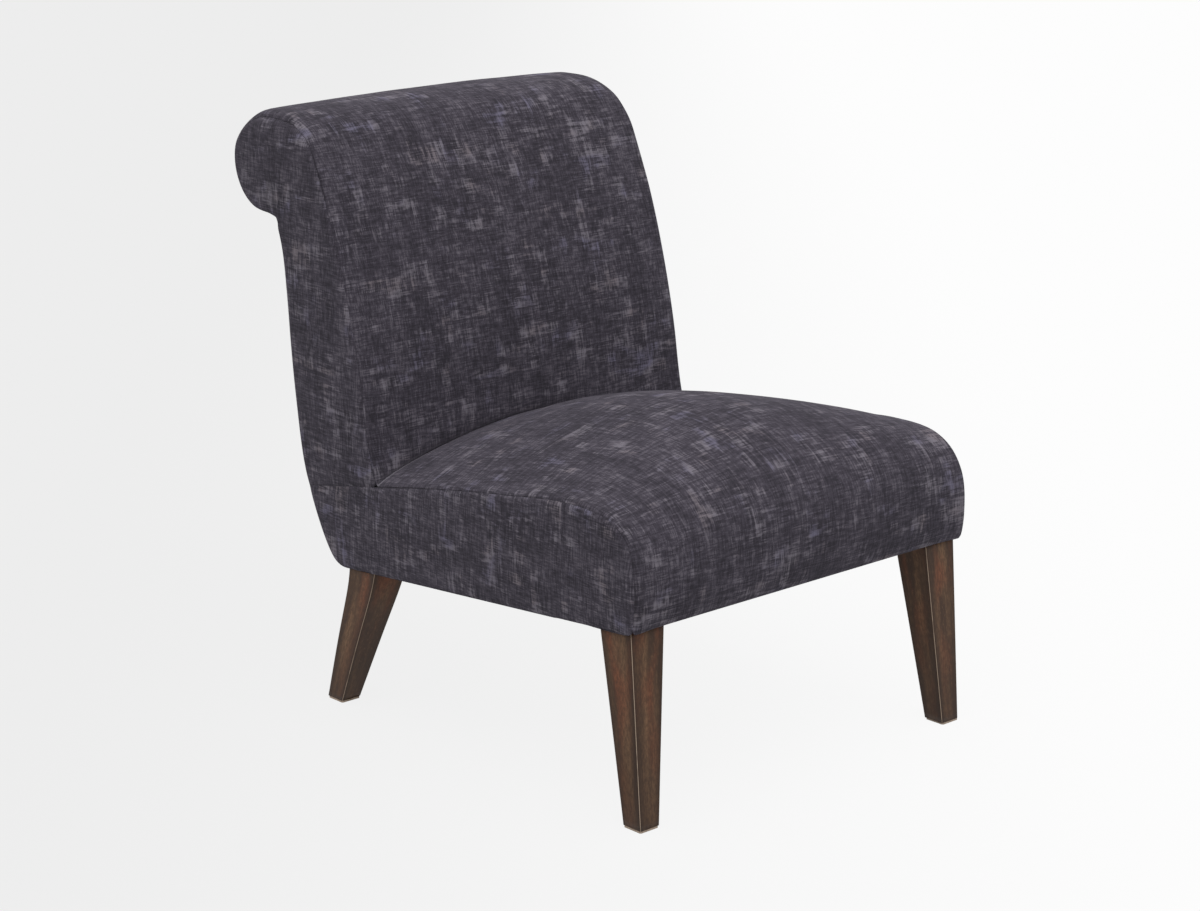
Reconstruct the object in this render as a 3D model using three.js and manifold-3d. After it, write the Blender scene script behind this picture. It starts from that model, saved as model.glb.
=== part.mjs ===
// Slipper chair with a crowned seat, a scroll back and four splayed walnut legs.
// Millimetres, +Z up, +X to the right seen from the front, the front faces -Y.
// Depths (y) below are measured from the front hem; the whole chair is then moved so that the origin
// lies under the middle of its box, on the floor.
import * as THREE from "three";
import { mergeVertices } from "three/addons/utils/BufferGeometryUtils.js";
import Module from "manifold-3d";

const wasm = await Module();
wasm.setup();

// Driving dimensions of the upholstered body
const seatWidth = 584;
const rearNarrowing = 13.6; // each side, over the depth of the hem
const hemDepth = 585;
const frontHemHeight = 248;
const hemFall = 53.5; // from the front hem to the rear hem
const seatBoxHeight = 138; // front hem to the top of the side seam
const seatCrown = 71; // rise of the seat over its side seam, at mid width
const backRise = 476; // seat crease to the top of the scroll, at the side seam
const backLean = 240; // seat crease to the centre of the scroll, in depth
const tuckDepth = 90; // seat crease ahead of the rear hem
const creaseRiseShare = 0.413; // of the seat box, over the front hem
const scrollRadius = 65;
const scrollCrown = 5;
const scrollEndAngle = -98; // degrees, where the scroll turns into the outside back
const edgeRoll = 5; // soft shoulder of a cover beside each side seam
const junctionInset = 25; // where the scroll meets the outside back, ahead of the scroll's centre
const junctionDrop = 71; // and below it
const rearBow = 40; // how far the outside back bows out over a straight line
const sideSeamDrop = 32; // fall of the seam between seat side and back side, front to rear

// Materials' thicknesses and the clearance between pieces that touch
const fit = 0.3;
const coverThickness = 2;
const clothThickness = 1.5;
const dustClothThickness = 1;
const backPadding = 40;
const rollPadding = 23;
const apronPadding = 3.8; // on the front rail, at the hem
const creaseGap = 1.3; // between the seat and the bowed face of the back

// Frame
const railThickness = 20;
const frameRise = 3; // underside of the frame above the hem
const frontRailShare = 0.558; // top of the front rail over the hem, of the seat box
const rearRailDrop = 22; // top of the rear rail under the seat crease
const rearRailSetback = 37; // rear hem to the front face of the rear rail
const blockLeg = 86; // corner block, along each rail
const blockNose = 26; // width of the block's square ends
const blockThickness = 30;
const tackingRailHeight = 60;
const tackingRailShare = 0.12; // place along the front outline
const topRailHeight = 56;
const topRailShare = 0.47;
const coreWall = 5.5;

// Legs
const legTop = 52.5;
const footWidth = 30;
const legInset = 3; // outer face inside the side hem
const frontLegSetback = 7; // behind the front hem
const frontLegSplay = 18.2; // foot ahead of the top
const rearLegSetback = 20; // ahead of the rear hem
const rearLegSplay = 54;
const rearLegSabre = 3; // bow of the rear leg's curve
const sabrePowerShare = 5; // how far up the leg the bow lies
const legBevel = 1.6;
const glideThickness = 2.4;

// Leg fixings
const boltRadius = 4;
const boltDepth = 32; // in the leg
const boltStandout = 4; // above the tee nut
const nutBarrelRadius = 5.2;
const nutBarrelLength = 12;
const nutFlangeRadius = 9.5;
const nutFlangeThickness = 1.6;
const nutClearance = 1; // from the flange to the rails

// Springs
const springCount = 4;
const springSpacingShare = 0.197; // of the seat's width
const springWidth = 50;
const springPitch = 25.5;
const springArc = 16;
const wireRadius = 1.9;
const tieWireRadius = 1.6;
const tieWireOverhang = 12;
const clipThickness = 1.4;
const clipWidth = 16;
const clipTail = 9;
const clipLipAngle = 130; // degrees, end of the clip's curl
const strapWidth = 50;
const strapThickness = 1.5;
const strapCount = 3;

// Fineness of the curved pieces
const halfColumns = 6;
const stepsPerSpan = 2;
const legSteps = 8;
const scrollSteps = 11;
const turnSteps = 4;
const wireSides = 5;
const roundSides = 12;
const coreSides = 24;
const clipSides = 6;
const halvings = 40;
const leastRowShare = 0.03;
const weldReach = 0.0003;
const cutOverrun = 2;

// Places that follow from the driving dimensions
const rearHemHeight = frontHemHeight - hemFall;
const creaseDepth = hemDepth - tuckDepth;
const creaseHeight = frontHemHeight + creaseRiseShare * seatBoxHeight;
const scrollDepth = creaseDepth + backLean;
const scrollHeight = creaseHeight + backRise - scrollRadius;
const junctionDepth = scrollDepth - junctionInset;
const junctionHeight = scrollHeight - junctionDrop;
const frontRailTop = frontHemHeight + frontRailShare * seatBoxHeight;
const rearRailTop = creaseHeight - rearRailDrop;
const springSpacing = springSpacingShare * seatWidth;

const halfWidthAt = (y) => seatWidth / 2 - (rearNarrowing * y) / hemDepth;
const rake = (frontHemHeight - rearHemHeight) / hemDepth;
const hemHeightAt = (y) => frontHemHeight - rake * y;
const frameBottomAt = (y) => hemHeightAt(y) + frameRise;
const underCover = coverThickness + fit;
const frameInset = underCover + railThickness; // inner face of the side rails inside the outer surface

// Materials
function material(colour, roughness, metalness = 0) {
  return new THREE.MeshStandardMaterial({ color: colour, roughness, metalness });
}

const slubFabric = () => material(0x3e3a44, 0.95);
const walnut = () => material(0x4b3629, 0.5);
const plywood = () => material(0xc8a679, 0.8);
const beech = () => material(0xb98f5f, 0.75);
const springSteel = () => material(0x6f7275, 0.4, 0.9);
const zincSteel = () => material(0xa3a6a8, 0.35, 0.9);
const paddingFoam = () => material(0xe6d9b0, 0.95);
const blackCloth = () => material(0x232326, 0.95);
const elasticStrap = () => material(0x34343a, 0.9);
const tubeBoard = () => material(0xa9855a, 0.9);
const paleGlide = () => material(0xb89b7c, 0.6);

// Solids

// Merges shared corners, and turns the faces outward where a mirror or a profile left them inward.
function closedSolid(geometry) {
  geometry.deleteAttribute("normal");
  geometry.deleteAttribute("uv");
  geometry.clearGroups();
  const solid = mergeVertices(geometry, weldReach);
  const place = solid.attributes.position;
  const corners = solid.index.array;
  const [a, b, c] = [new THREE.Vector3(), new THREE.Vector3(), new THREE.Vector3()];
  let volume = 0;
  for (let i = 0; i < corners.length; i += 3) {
    a.fromBufferAttribute(place, corners[i]);
    b.fromBufferAttribute(place, corners[i + 1]);
    c.fromBufferAttribute(place, corners[i + 2]);
    volume += a.dot(b.cross(c));
  }
  if (volume < 0) {
    for (let i = 0; i < corners.length; i += 3) {
      [corners[i + 1], corners[i + 2]] = [corners[i + 2], corners[i + 1]];
    }
  }
  solid.computeVertexNormals();
  return solid;
}

function toManifold(geometry) {
  const solid = closedSolid(geometry);
  return new wasm.Manifold(
    new wasm.Mesh({
      numProp: 3,
      vertProperties: new Float32Array(solid.attributes.position.array),
      triVerts: new Uint32Array(solid.index.array),
    }),
  );
}

function drilled(geometry, cutters) {
  const whole = toManifold(geometry);
  const made = cutters.reduce((body, cutter) => body.subtract(toManifold(cutter)), whole).getMesh();
  const solid = new THREE.BufferGeometry();
  solid.setAttribute("position", new THREE.BufferAttribute(made.vertProperties, made.numProp));
  solid.setIndex(new THREE.BufferAttribute(made.triVerts, 1));
  solid.computeVertexNormals();
  return solid;
}

// A closed skin over a grid of outer points and a grid of inner points with as many rows and columns.
function betweenGrids(outer, inner) {
  const rows = outer.length;
  const columns = outer[0].length;
  const places = [];
  for (const grid of [outer, inner]) {
    for (const row of grid) {
      for (const point of row) places.push(point.x, point.y, point.z);
    }
  }
  const at = (side, row, column) => (side * rows + row) * columns + column;
  const faces = [];
  const quad = (a, b, c, d) => faces.push(a, b, c, a, c, d);
  for (let r = 0; r + 1 < rows; r++) {
    for (let c = 0; c + 1 < columns; c++) {
      quad(at(0, r, c), at(0, r, c + 1), at(0, r + 1, c + 1), at(0, r + 1, c));
      quad(at(1, r, c), at(1, r + 1, c), at(1, r + 1, c + 1), at(1, r, c + 1));
    }
  }
  const lastColumn = columns - 1;
  for (let r = 0; r + 1 < rows; r++) {
    quad(at(0, r, 0), at(0, r + 1, 0), at(1, r + 1, 0), at(1, r, 0));
    quad(at(0, r, lastColumn), at(1, r, lastColumn), at(1, r + 1, lastColumn), at(0, r + 1, lastColumn));
  }
  const lastRow = rows - 1;
  for (let c = 0; c + 1 < columns; c++) {
    quad(at(0, 0, c), at(1, 0, c), at(1, 0, c + 1), at(0, 0, c + 1));
    quad(at(0, lastRow, c), at(0, lastRow, c + 1), at(1, lastRow, c + 1), at(1, lastRow, c));
  }
  return fromFaces(places, faces);
}

function fromFaces(places, faces) {
  const geometry = new THREE.BufferGeometry();
  geometry.setAttribute("position", new THREE.Float32BufferAttribute(places, 3));
  geometry.setIndex(faces);
  return closedSolid(geometry);
}

// A closed skin over a run of rings with as many points each, with a flat fan on both ends.
function throughRings(rings) {
  const sides = rings[0].length;
  const places = rings.flat().flatMap((point) => [point.x, point.y, point.z]);
  const faces = [];
  for (let r = 0; r + 1 < rings.length; r++) {
    for (let s = 0; s < sides; s++) {
      const next = (s + 1) % sides;
      const [near, far] = [r * sides, (r + 1) * sides];
      faces.push(near + s, near + next, far + next, near + s, far + next, far + s);
    }
  }
  const top = (rings.length - 1) * sides;
  for (let s = 1; s + 1 < sides; s++) {
    faces.push(0, s + 1, s, top, top + s, top + s + 1);
  }
  return fromFaces(places, faces);
}

function box(x, y, z) {
  return new THREE.BoxGeometry(x, y, z);
}

function rod(radius, length, sides = roundSides) {
  return new THREE.CylinderGeometry(radius, radius, length, sides).rotateX(Math.PI / 2);
}

// Outlines of the upholstery in the side view

// Stations along a side outline: place (y, z), outward normal stretched for a parallel offset, and crown.
function stationsAlong(points) {
  return points.map((point, i) => {
    const before = points[Math.max(i - 1, 0)];
    const after = points[Math.min(i + 1, points.length - 1)];
    const first = new THREE.Vector2(point.x - before.x, point.y - before.y);
    const second = new THREE.Vector2(after.x - point.x, after.y - point.y);
    if (first.length() === 0) first.copy(second);
    if (second.length() === 0) second.copy(first);
    const middle = first.normalize().add(second.normalize());
    const halfTurn = middle.length() / 2;
    const along = middle.normalize();
    const normal = new THREE.Vector2(-along.y, along.x).divideScalar(halfTurn);
    return { place: new THREE.Vector2(point.x, point.y), normal, crown: point.z };
  });
}

function smoothRun(controls) {
  const spans = controls.length - 1;
  return new THREE.CatmullRomCurve3(controls, false, "centripetal").getPoints(spans * stepsPerSpan);
}

function stationAt(stations, t) {
  const i = Math.min(Math.floor(t), stations.length - 2);
  const share = t - i;
  const [a, b] = [stations[i], stations[i + 1]];
  return {
    place: a.place.clone().lerp(b.place, share),
    normal: a.normal.clone().lerp(b.normal, share),
    crown: a.crown + (b.crown - a.crown) * share,
  };
}

const lastOf = (stations) => stations.length - 1;

// Point (y, z) of a side outline, moved inward.
function insetPoint(stations, t, inset) {
  const station = stationAt(stations, t);
  return station.place.addScaledVector(station.normal, -inset);
}

// Rise of a cover over its side outline, at width share u: a pillow with a soft shoulder beside the seam.
const pillowPowerShare = 1.65;
const shoulderPowerShare = 16;
const riseAt = (crown, u) =>
  crown * (1 - Math.abs(u) ** pillowPowerShare) +
  Math.min(crown, edgeRoll) * (1 - Math.abs(u) ** shoulderPowerShare);

// Point of the crowned surface over a side outline, at width share u.
function surfacePoint(stations, row, u, inset, sideInset = 0, crownShare = 1) {
  const station = stationAt(stations, row);
  const rise = riseAt(station.crown, u) * crownShare;
  const point = station.place.addScaledVector(station.normal, rise - inset);
  return new THREE.Vector3(u * (halfWidthAt(point.x) - sideInset), point.x, point.y);
}

function bisect(low, high, isPast) {
  let [a, b] = [low, high];
  for (let i = 0; i < halvings; i++) {
    const middle = (a + b) / 2;
    if (isPast(middle)) b = middle;
    else a = middle;
  }
  return (a + b) / 2;
}

// Row positions from one place along the stations to another, through every station between.
function rowsBetween(from, to) {
  const rows = [from];
  for (let i = Math.floor(from) + 1; i < to - leastRowShare; i++) {
    if (i > from + leastRowShare) rows.push(i);
  }
  rows.push(to);
  return rows;
}

const columnShares = [];
for (let k = -halfColumns; k <= halfColumns; k++) {
  columnShares.push(Math.sin((Math.PI / 2) * (k / halfColumns)));
}

// Seat outline from the front hem to behind the crease: depth share, height share, crown share.
const seatOutlineShares = [
  [0, 0, 0],
  [-0.006, 0.29, 0.1],
  [-0.002, 0.57, 0.13],
  [0.015, 0.79, 0.2],
  [0.07, 0.96, 0.38],
  [0.19, 1, 0.76],
  [0.42, 0.87, 1],
  [0.66, 0.703, 0.93],
  [0.85, 0.543, 0.68],
  [0.95, 0.464, 0.55],
];
const seatControls = seatOutlineShares.map(
  ([depth, height, crown]) =>
    new THREE.Vector3(depth * hemDepth, frontHemHeight + height * seatBoxHeight, crown * seatCrown),
);
const seatStations = stationsAlong(smoothRun(seatControls));

// Back outline from the crease up the front to the top of the scroll: depth share, rise share, crown share.
const backFrontShares = [
  [0, 0, 0.2],
  [0.084, 0.131, 0.4],
  [0.143, 0.308, 0.5],
  [0.222, 0.483, 0.5],
  [0.322, 0.654, 0.5],
  [0.45, 0.825, 0.5],
  [0.525, 0.904, 0.6],
  [0.626, 0.97, 0.75],
  [0.79, 0.998, 0.95],
  [1, 1, 1],
];
const scrollTurn = Math.PI / 2 - THREE.MathUtils.degToRad(scrollEndAngle);

function backOutline() {
  const controls = backFrontShares.map(([depth, height, crown]) => {
    const [y, z] = [creaseDepth + depth * backLean, creaseHeight + height * backRise];
    return new THREE.Vector3(y, z, crown * scrollCrown);
  });
  const outline = smoothRun(controls);
  for (let i = 1; i <= scrollSteps; i++) {
    const share = i / scrollSteps;
    const angle = Math.PI / 2 - scrollTurn * share;
    outline.push(
      new THREE.Vector3(
        scrollDepth + scrollRadius * Math.cos(angle),
        scrollHeight + scrollRadius * Math.sin(angle),
        scrollCrown * (1 - share),
      ),
    );
  }
  outline.push(new THREE.Vector3(junctionDepth, junctionHeight, 0));
  return stationsAlong(outline);
}
const backStations = backOutline();
const topOfScroll = (backFrontShares.length - 1) * stepsPerSpan;

// Outside back from the scroll down to the rear hem: share of the way down, share of the bow.
const outsideBackShares = [
  [0, 0],
  [0.09, -0.04],
  [0.236, 0.21],
  [0.384, 0.53],
  [0.533, 0.79],
  [0.711, 1],
  [0.827, 0.88],
  [0.936, 0.55],
  [0.985, 0.24],
  [1, 0],
];
const outsideBackControls = outsideBackShares.map(([down, bow]) => {
  const depth = junctionDepth + (hemDepth - junctionDepth) * down;
  const height = junctionHeight + (rearHemHeight - junctionHeight) * down;
  return new THREE.Vector3(depth + bow * rearBow, height, 0);
});
const rearStations = stationsAlong(smoothRun(outsideBackControls));

// Frame and padding places that the pieces share
const lastBackRow = lastOf(backStations);
const lastRearRow = lastOf(rearStations);
const frontRailFace = underCover + apronPadding + fit;
const frontRailBack = frontRailFace + railThickness;
const rearRailFront = hemDepth - rearRailSetback;
const rearRailBack = rearRailFront + railThickness;
const frontBarDepth = frontRailFace + railThickness / 2;
const rearBarDepth = rearRailFront + railThickness / 2;
const clipRadius = wireRadius + fit + clipThickness;
const clipHeight = 2 * clipRadius;
const deckRise = fit + clipHeight + fit;

const rollStartRow = topOfScroll - 2 * stepsPerSpan;
const thinningStartRow = rollStartRow - 2 * stepsPerSpan;
function supportInset(row) {
  const thinned = THREE.MathUtils.smoothstep(row, thinningStartRow, topOfScroll);
  return underCover + THREE.MathUtils.lerp(backPadding, rollPadding, thinned);
}

const barSpan = rearBarDepth - frontBarDepth;
const railLineAt = (y) => frontRailTop + ((rearRailTop - frontRailTop) * (y - frontBarDepth)) / barSpan;
function arcAt(y) {
  const share = THREE.MathUtils.clamp((y - frontBarDepth) / barSpan, 0, 1);
  return springArc * 4 * share * (1 - share);
}
const springHeightAt = (y) => railLineAt(y) + fit + clipRadius + arcAt(y);
const deckPowerShare = 10;
const deckUnderAt = (y, u) => railLineAt(y) + deckRise + arcAt(y) * (1 - Math.abs(u) ** deckPowerShare);

const backRowAtHeight = (height, inset = 0) =>
  bisect(0, rollStartRow, (row) => insetPoint(backStations, row, inset).y > height);
const rearRowAtHeight = (height, inset = 0) =>
  bisect(0, lastRearRow, (row) => insetPoint(rearStations, row, inset).y < height);

// The row where the seat's surface, at width share u, meets the front of the back.
function creaseRow(u, inset) {
  const backDepthAt = (height) => {
    const row = bisect(0, rollStartRow, (place) => surfacePoint(backStations, place, u, 0).z > height);
    return surfacePoint(backStations, row, u, 0).y;
  };
  return bisect(lastOf(seatStations) / 2, lastOf(seatStations), (row) => {
    const point = surfacePoint(seatStations, row, u, inset);
    return point.y > backDepthAt(point.z) - creaseGap;
  });
}

const sideCreaseRow = creaseRow(1, 0);
const seamFront = insetPoint(seatStations, sideCreaseRow, underCover);
const seamRear = insetPoint(
  rearStations,
  rearRowAtHeight(seamFront.y - sideSeamDrop, underCover),
  underCover,
);
const seamHeightAt = (y) =>
  seamFront.y + ((seamRear.y - seamFront.y) * (y - seamFront.x)) / (seamRear.x - seamFront.x);

// Skins and paddings that follow an outline

function followingBand(
  stations,
  rows,
  insets,
  { sideInset = () => 0, crowns = [1, 1], columns = columnShares, innerRow = (row) => row } = {},
) {
  const grids = insets.map((inset, layer) =>
    rows.map((outerRow) => {
      const row = layer ? innerRow(outerRow) : outerRow;
      return columns.map((u) => surfacePoint(stations, row, u, inset(row), sideInset(row), crowns[layer]));
    }),
  );
  return betweenGrids(grids[0], grids[1]);
}

const lastFullSeatRow = Math.floor(sideCreaseRow) - 1;
const seatRows = Array.from({ length: lastFullSeatRow + 1 }, (_, i) => i);

function seatGrid(inset, sideInset) {
  const rowPoints = seatRows.map((row) =>
    columnShares.map((u) => surfacePoint(seatStations, row, u, inset, sideInset)),
  );
  const creasePoints = columnShares.map((u) =>
    surfacePoint(seatStations, creaseRow(u, inset), u, inset, sideInset),
  );
  return [...rowPoints, creasePoints];
}

function seatCoverGeometry() {
  return betweenGrids(seatGrid(0, 0), seatGrid(coverThickness, 0));
}

// Depths of the rows where the seat padding lies on the deck cloth.
const foamFace = frontRailFace - fit;
const seatFoamEnd = surfacePoint(backStations, 0, 0, 0).y - creaseGap;
const rowOnDeck = (row) => insetPoint(seatStations, row, underCover).y > frontRailTop + deckRise;
const deckRowDepths = [
  foamFace,
  ...seatRows.filter(rowOnDeck).slice(1).map((row) => insetPoint(seatStations, row, underCover).x),
  seatFoamEnd,
];

function seatFoamGeometry() {
  const inner = [];
  const across = (y, height) =>
    columnShares.map((u) => new THREE.Vector3(u * (halfWidthAt(y) - underCover), y, height(u)));
  for (const row of seatRows.filter((row) => !rowOnDeck(row))) {
    const { y: height } = insetPoint(seatStations, row, underCover);
    inner.push(across(foamFace, () => height));
  }
  for (const y of deckRowDepths) {
    inner.push(across(y, (u) => deckUnderAt(y, u) + clothThickness + fit));
  }
  return betweenGrids(seatGrid(underCover, underCover), inner);
}

function deckClothGeometry() {
  const rows = deckRowDepths.slice();
  rows[0] = frontRailFace + 2 * fit;
  rows.push((seatFoamEnd + postFront) / 2, postFront - fit);
  const pointAt = (y, u, lift) =>
    new THREE.Vector3(u * (halfWidthAt(y) - underCover), y, deckUnderAt(y, u) + lift);
  const layer = (lift) => rows.map((y) => columnShares.map((u) => pointAt(y, u, lift)));
  return betweenGrids(layer(clothThickness), layer(0));
}

const seamRow = bisect(0, rollStartRow, (row) => {
  const point = insetPoint(backStations, row, underCover);
  return point.y > seamHeightAt(point.x) + fit;
});
const stationSpacing = (stations, row) => stations[row].place.distanceTo(stations[row + 1].place);
const seamStep = (2 * fit) / stationSpacing(backStations, 0);

function insideBackCoverGeometry() {
  const wideRows = rowsBetween(seamRow + seamStep, lastBackRow);
  return followingBand(backStations, [0, seamRow, ...wideRows], [() => 0, () => coverThickness], {
    sideInset: (row) => (row > seamRow + seamStep / 2 ? 0 : underCover),
  });
}

const strapClearance = fit + strapThickness + fit;

function backFoamGeometry() {
  const levelRow = backRowAtHeight(creaseHeight, supportInset(0) - strapClearance);
  return followingBand(
    backStations,
    rowsBetween(0, rollStartRow),
    [() => underCover, (row) => supportInset(row) - strapClearance],
    { sideInset: () => underCover, crowns: [1, 0], innerRow: (row) => Math.max(row, levelRow) },
  );
}

function rollFoamGeometry() {
  const gapRows = fit / stationSpacing(backStations, rollStartRow);
  const endRows = (2 * coverThickness) / stationSpacing(backStations, lastBackRow - 1);
  return followingBand(
    backStations,
    rowsBetween(rollStartRow + gapRows, lastBackRow - endRows),
    [() => underCover, (row) => supportInset(row) - fit],
    { sideInset: () => underCover, crowns: [1, 0] },
  );
}

function strapGeometry(height) {
  const [low, high] = [height - strapWidth / 2, height + strapWidth / 2];
  return followingBand(
    backStations,
    rowsBetween(backRowAtHeight(low), backRowAtHeight(high)),
    [(row) => supportInset(row) - fit - strapThickness, (row) => supportInset(row) - fit],
    { sideInset: () => underCover, crowns: [0, 0], columns: [-1, 1] },
  );
}

function outsideBackCoverGeometry() {
  const gapRows = fit / stationSpacing(rearStations, 0);
  return followingBand(rearStations, rowsBetween(gapRows, lastRearRow), [() => 0, () => coverThickness]);
}

// Flat pieces that lie along the tapering sides, from an outline in the side view (y, z)

function sidePlate(outline, side, inset, thickness) {
  const shape = new THREE.Shape(outline);
  const plate = new THREE.ExtrudeGeometry(shape, { depth: thickness, bevelEnabled: false });
  const lean = rearNarrowing / hemDepth;
  const basis = new THREE.Matrix4().makeBasis(
    new THREE.Vector3(-side * lean, 1, 0),
    new THREE.Vector3(0, 0, 1),
    new THREE.Vector3(-side, 0, 0),
  );
  basis.setPosition(side * (seatWidth / 2 - inset), 0, 0);
  return closedSolid(plate.applyMatrix4(basis));
}

const rowPoints = (stations, rows, inset) =>
  rows.map((row) => insetPoint(stations, row, typeof inset === "function" ? inset(row) : inset));

function seatSideOutline() {
  const rearRow = rearRowAtHeight(seamRear.y, underCover);
  return [
    ...rowPoints(seatStations, [...seatRows, sideCreaseRow], underCover),
    ...rowPoints(rearStations, rowsBetween(rearRow, lastRearRow), underCover),
  ];
}

function backSideOutline() {
  const rearRow = bisect(0, lastRearRow, (row) => {
    const point = insetPoint(rearStations, row, underCover);
    return point.y < seamHeightAt(point.x) + fit;
  });
  return [
    ...rowPoints(backStations, rowsBetween(seamRow, lastBackRow), underCover),
    ...rowPoints(rearStations, rowsBetween(0, rearRow), underCover),
  ];
}

const postFront = insetPoint(backStations, 0, supportInset(0)).x;

function postOutline() {
  const rearFootRow = bisect(0, lastRearRow, (row) => {
    const point = insetPoint(rearStations, row, underCover);
    return point.y < frameBottomAt(point.x);
  });
  return [
    new THREE.Vector2(postFront, frameBottomAt(postFront)),
    ...rowPoints(backStations, rowsBetween(0, lastBackRow), supportInset),
    ...rowPoints(rearStations, rowsBetween(0, rearFootRow), underCover),
  ];
}

function sideRailOutline() {
  const front = frontRailBack + fit;
  const rear = postFront - fit;
  return [
    new THREE.Vector2(front, frameBottomAt(front)),
    new THREE.Vector2(rear, frameBottomAt(rear)),
    new THREE.Vector2(rear, deckUnderAt(rear, 1) - fit),
    new THREE.Vector2(front, deckUnderAt(front, 1) - fit),
  ];
}

// Cross rails

// A board across the frame from front to back face, with its underside on the raked plane of the frame.
function crossRailGeometry(front, back, top, halfLength) {
  const shape = new THREE.Shape([
    new THREE.Vector2(front, frameBottomAt(front)),
    new THREE.Vector2(back, frameBottomAt(back)),
    new THREE.Vector2(back, top),
    new THREE.Vector2(front, top),
  ]);
  return acrossFromProfile(shape, 2 * halfLength);
}

// Extrudes a profile drawn in the side view (y, z) across the chair, centred on x = 0.
function acrossFromProfile(shape, length, curveSegments = roundSides) {
  const geometry = new THREE.ExtrudeGeometry(shape, { depth: length, bevelEnabled: false, curveSegments });
  const basis = new THREE.Matrix4().makeBasis(
    new THREE.Vector3(0, 1, 0),
    new THREE.Vector3(0, 0, 1),
    new THREE.Vector3(1, 0, 0),
  );
  return closedSolid(geometry.translate(0, 0, -length / 2).applyMatrix4(basis));
}

const betweenPosts = (deepest) => 2 * (halfWidthAt(deepest) - frameInset - fit);

// A board between the posts, its face along their front edges.
function backRail(name, row, height) {
  const station = stationAt(backStations, row);
  const centre = insetPoint(backStations, row, supportInset(row) + fit + railThickness / 2);
  const rail = mesh(name, box(betweenPosts(centre.x + height / 2), railThickness, height), plywood());
  rail.position.set(0, centre.x, centre.y);
  rail.rotation.x = -Math.atan2(station.normal.y, -station.normal.x);
  return rail;
}

function rollCore() {
  const facetShare = Math.cos(scrollTurn / scrollSteps / 2);
  const radius = scrollRadius * facetShare - underCover - rollPadding;
  const length = betweenPosts(scrollDepth + radius);
  const wall = [
    new THREE.Vector2(radius - coreWall, -length / 2),
    new THREE.Vector2(radius, -length / 2),
    new THREE.Vector2(radius, length / 2),
    new THREE.Vector2(radius - coreWall, length / 2),
    new THREE.Vector2(radius - coreWall, -length / 2),
  ];
  const core = mesh("roll_core", closedSolid(new THREE.LatheGeometry(wall, coreSides)), tubeBoard());
  core.rotation.z = Math.PI / 2;
  core.position.set(0, scrollDepth, scrollHeight);
  return core;
}

// Legs and what holds them

const corners = [
  { name: "front_left", side: -1, front: true },
  { name: "front_right", side: 1, front: true },
  { name: "rear_left", side: -1, front: false },
  { name: "rear_right", side: 1, front: false },
];

// The leg's outer face and the face toward the chair's front or rear end, at the frame.
function legFaces({ side, front }) {
  const end = front ? frontLegSetback : hemDepth - rearLegSetback;
  const inward = front ? 1 : -1;
  const outer = side * (halfWidthAt(end + (inward * legTop) / 2) - legInset);
  return { outer, end, inward };
}

// How far the rear leg's curve stands off a straight line: most of it is near the frame.
function sabreAt(share) {
  const peakShare = sabrePowerShare / (sabrePowerShare + 1);
  return (rearLegSabre * (share / peakShare) ** sabrePowerShare * (1 - share)) / (1 - peakShare);
}

function legSquare(corner, share, width) {
  const { outer, end, inward } = legFaces(corner);
  const splay = corner.front ? frontLegSplay : rearLegSplay;
  const sabre = corner.front ? 0 : sabreAt(share);
  const x = outer - (corner.side * width) / 2;
  const y = end + inward * (width / 2 - splay * (1 - share) + sabre);
  const half = width / 2;
  const flat = half - legBevel;
  const around = [
    [half, flat],
    [flat, half],
    [-flat, half],
    [-half, flat],
    [-half, -flat],
    [-flat, -half],
    [flat, -half],
    [half, -flat],
  ];
  return around.map(([dx, dy]) => new THREE.Vector2(x + dx, y + dy));
}

function legGeometry(corner) {
  const foot = glideThickness + fit;
  const rings = [];
  for (let i = 0; i <= legSteps; i++) {
    const share = i / legSteps;
    const width = footWidth + (legTop - footWidth) * share;
    rings.push(
      legSquare(corner, share, width).map(
        ({ x, y }) => new THREE.Vector3(x, y, foot + (frameBottomAt(y) - fit - foot) * share),
      ),
    );
  }
  const boreDepth = boltDepth + fit;
  const bore = rod(boltRadius + fit, boreDepth + cutOverrun)
    .translate(0, 0, (cutOverrun - boreDepth) / 2)
    .applyMatrix4(boltPlace(corner));
  return drilled(throughRings(rings), [bore]);
}

function glideGeometry(corner) {
  const square = legSquare(corner, 0, footWidth);
  return throughRings([0, glideThickness].map((z) => square.map(({ x, y }) => new THREE.Vector3(x, y, z))));
}

const blockStart = (corner) => (corner.front ? frontRailBack + fit : rearRailFront - fit);

// The bolt leans back over the height of the block, and the nut's flange there stays clear of the rails.
function boltCentre(corner) {
  const room = nutFlangeRadius + nutClearance;
  const y = blockStart(corner) + legFaces(corner).inward * room - blockThickness * rake;
  const x = corner.side * (halfWidthAt(y) - frameInset - fit - room);
  return new THREE.Vector3(x, y, frameBottomAt(y));
}

// The bolt stands square to the raked underside of the frame.
const rakeAngle = -Math.atan(rake);

function boltPlace(corner) {
  return new THREE.Matrix4().makeRotationX(rakeAngle).setPosition(boltCentre(corner));
}

const blockAlongBolt = blockThickness * Math.cos(rakeAngle);

function hangerBoltGeometry() {
  const above = blockAlongBolt + fit + nutFlangeThickness + boltStandout;
  return rod(boltRadius, boltDepth + above).translate(0, 0, (above - boltDepth) / 2);
}

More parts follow.
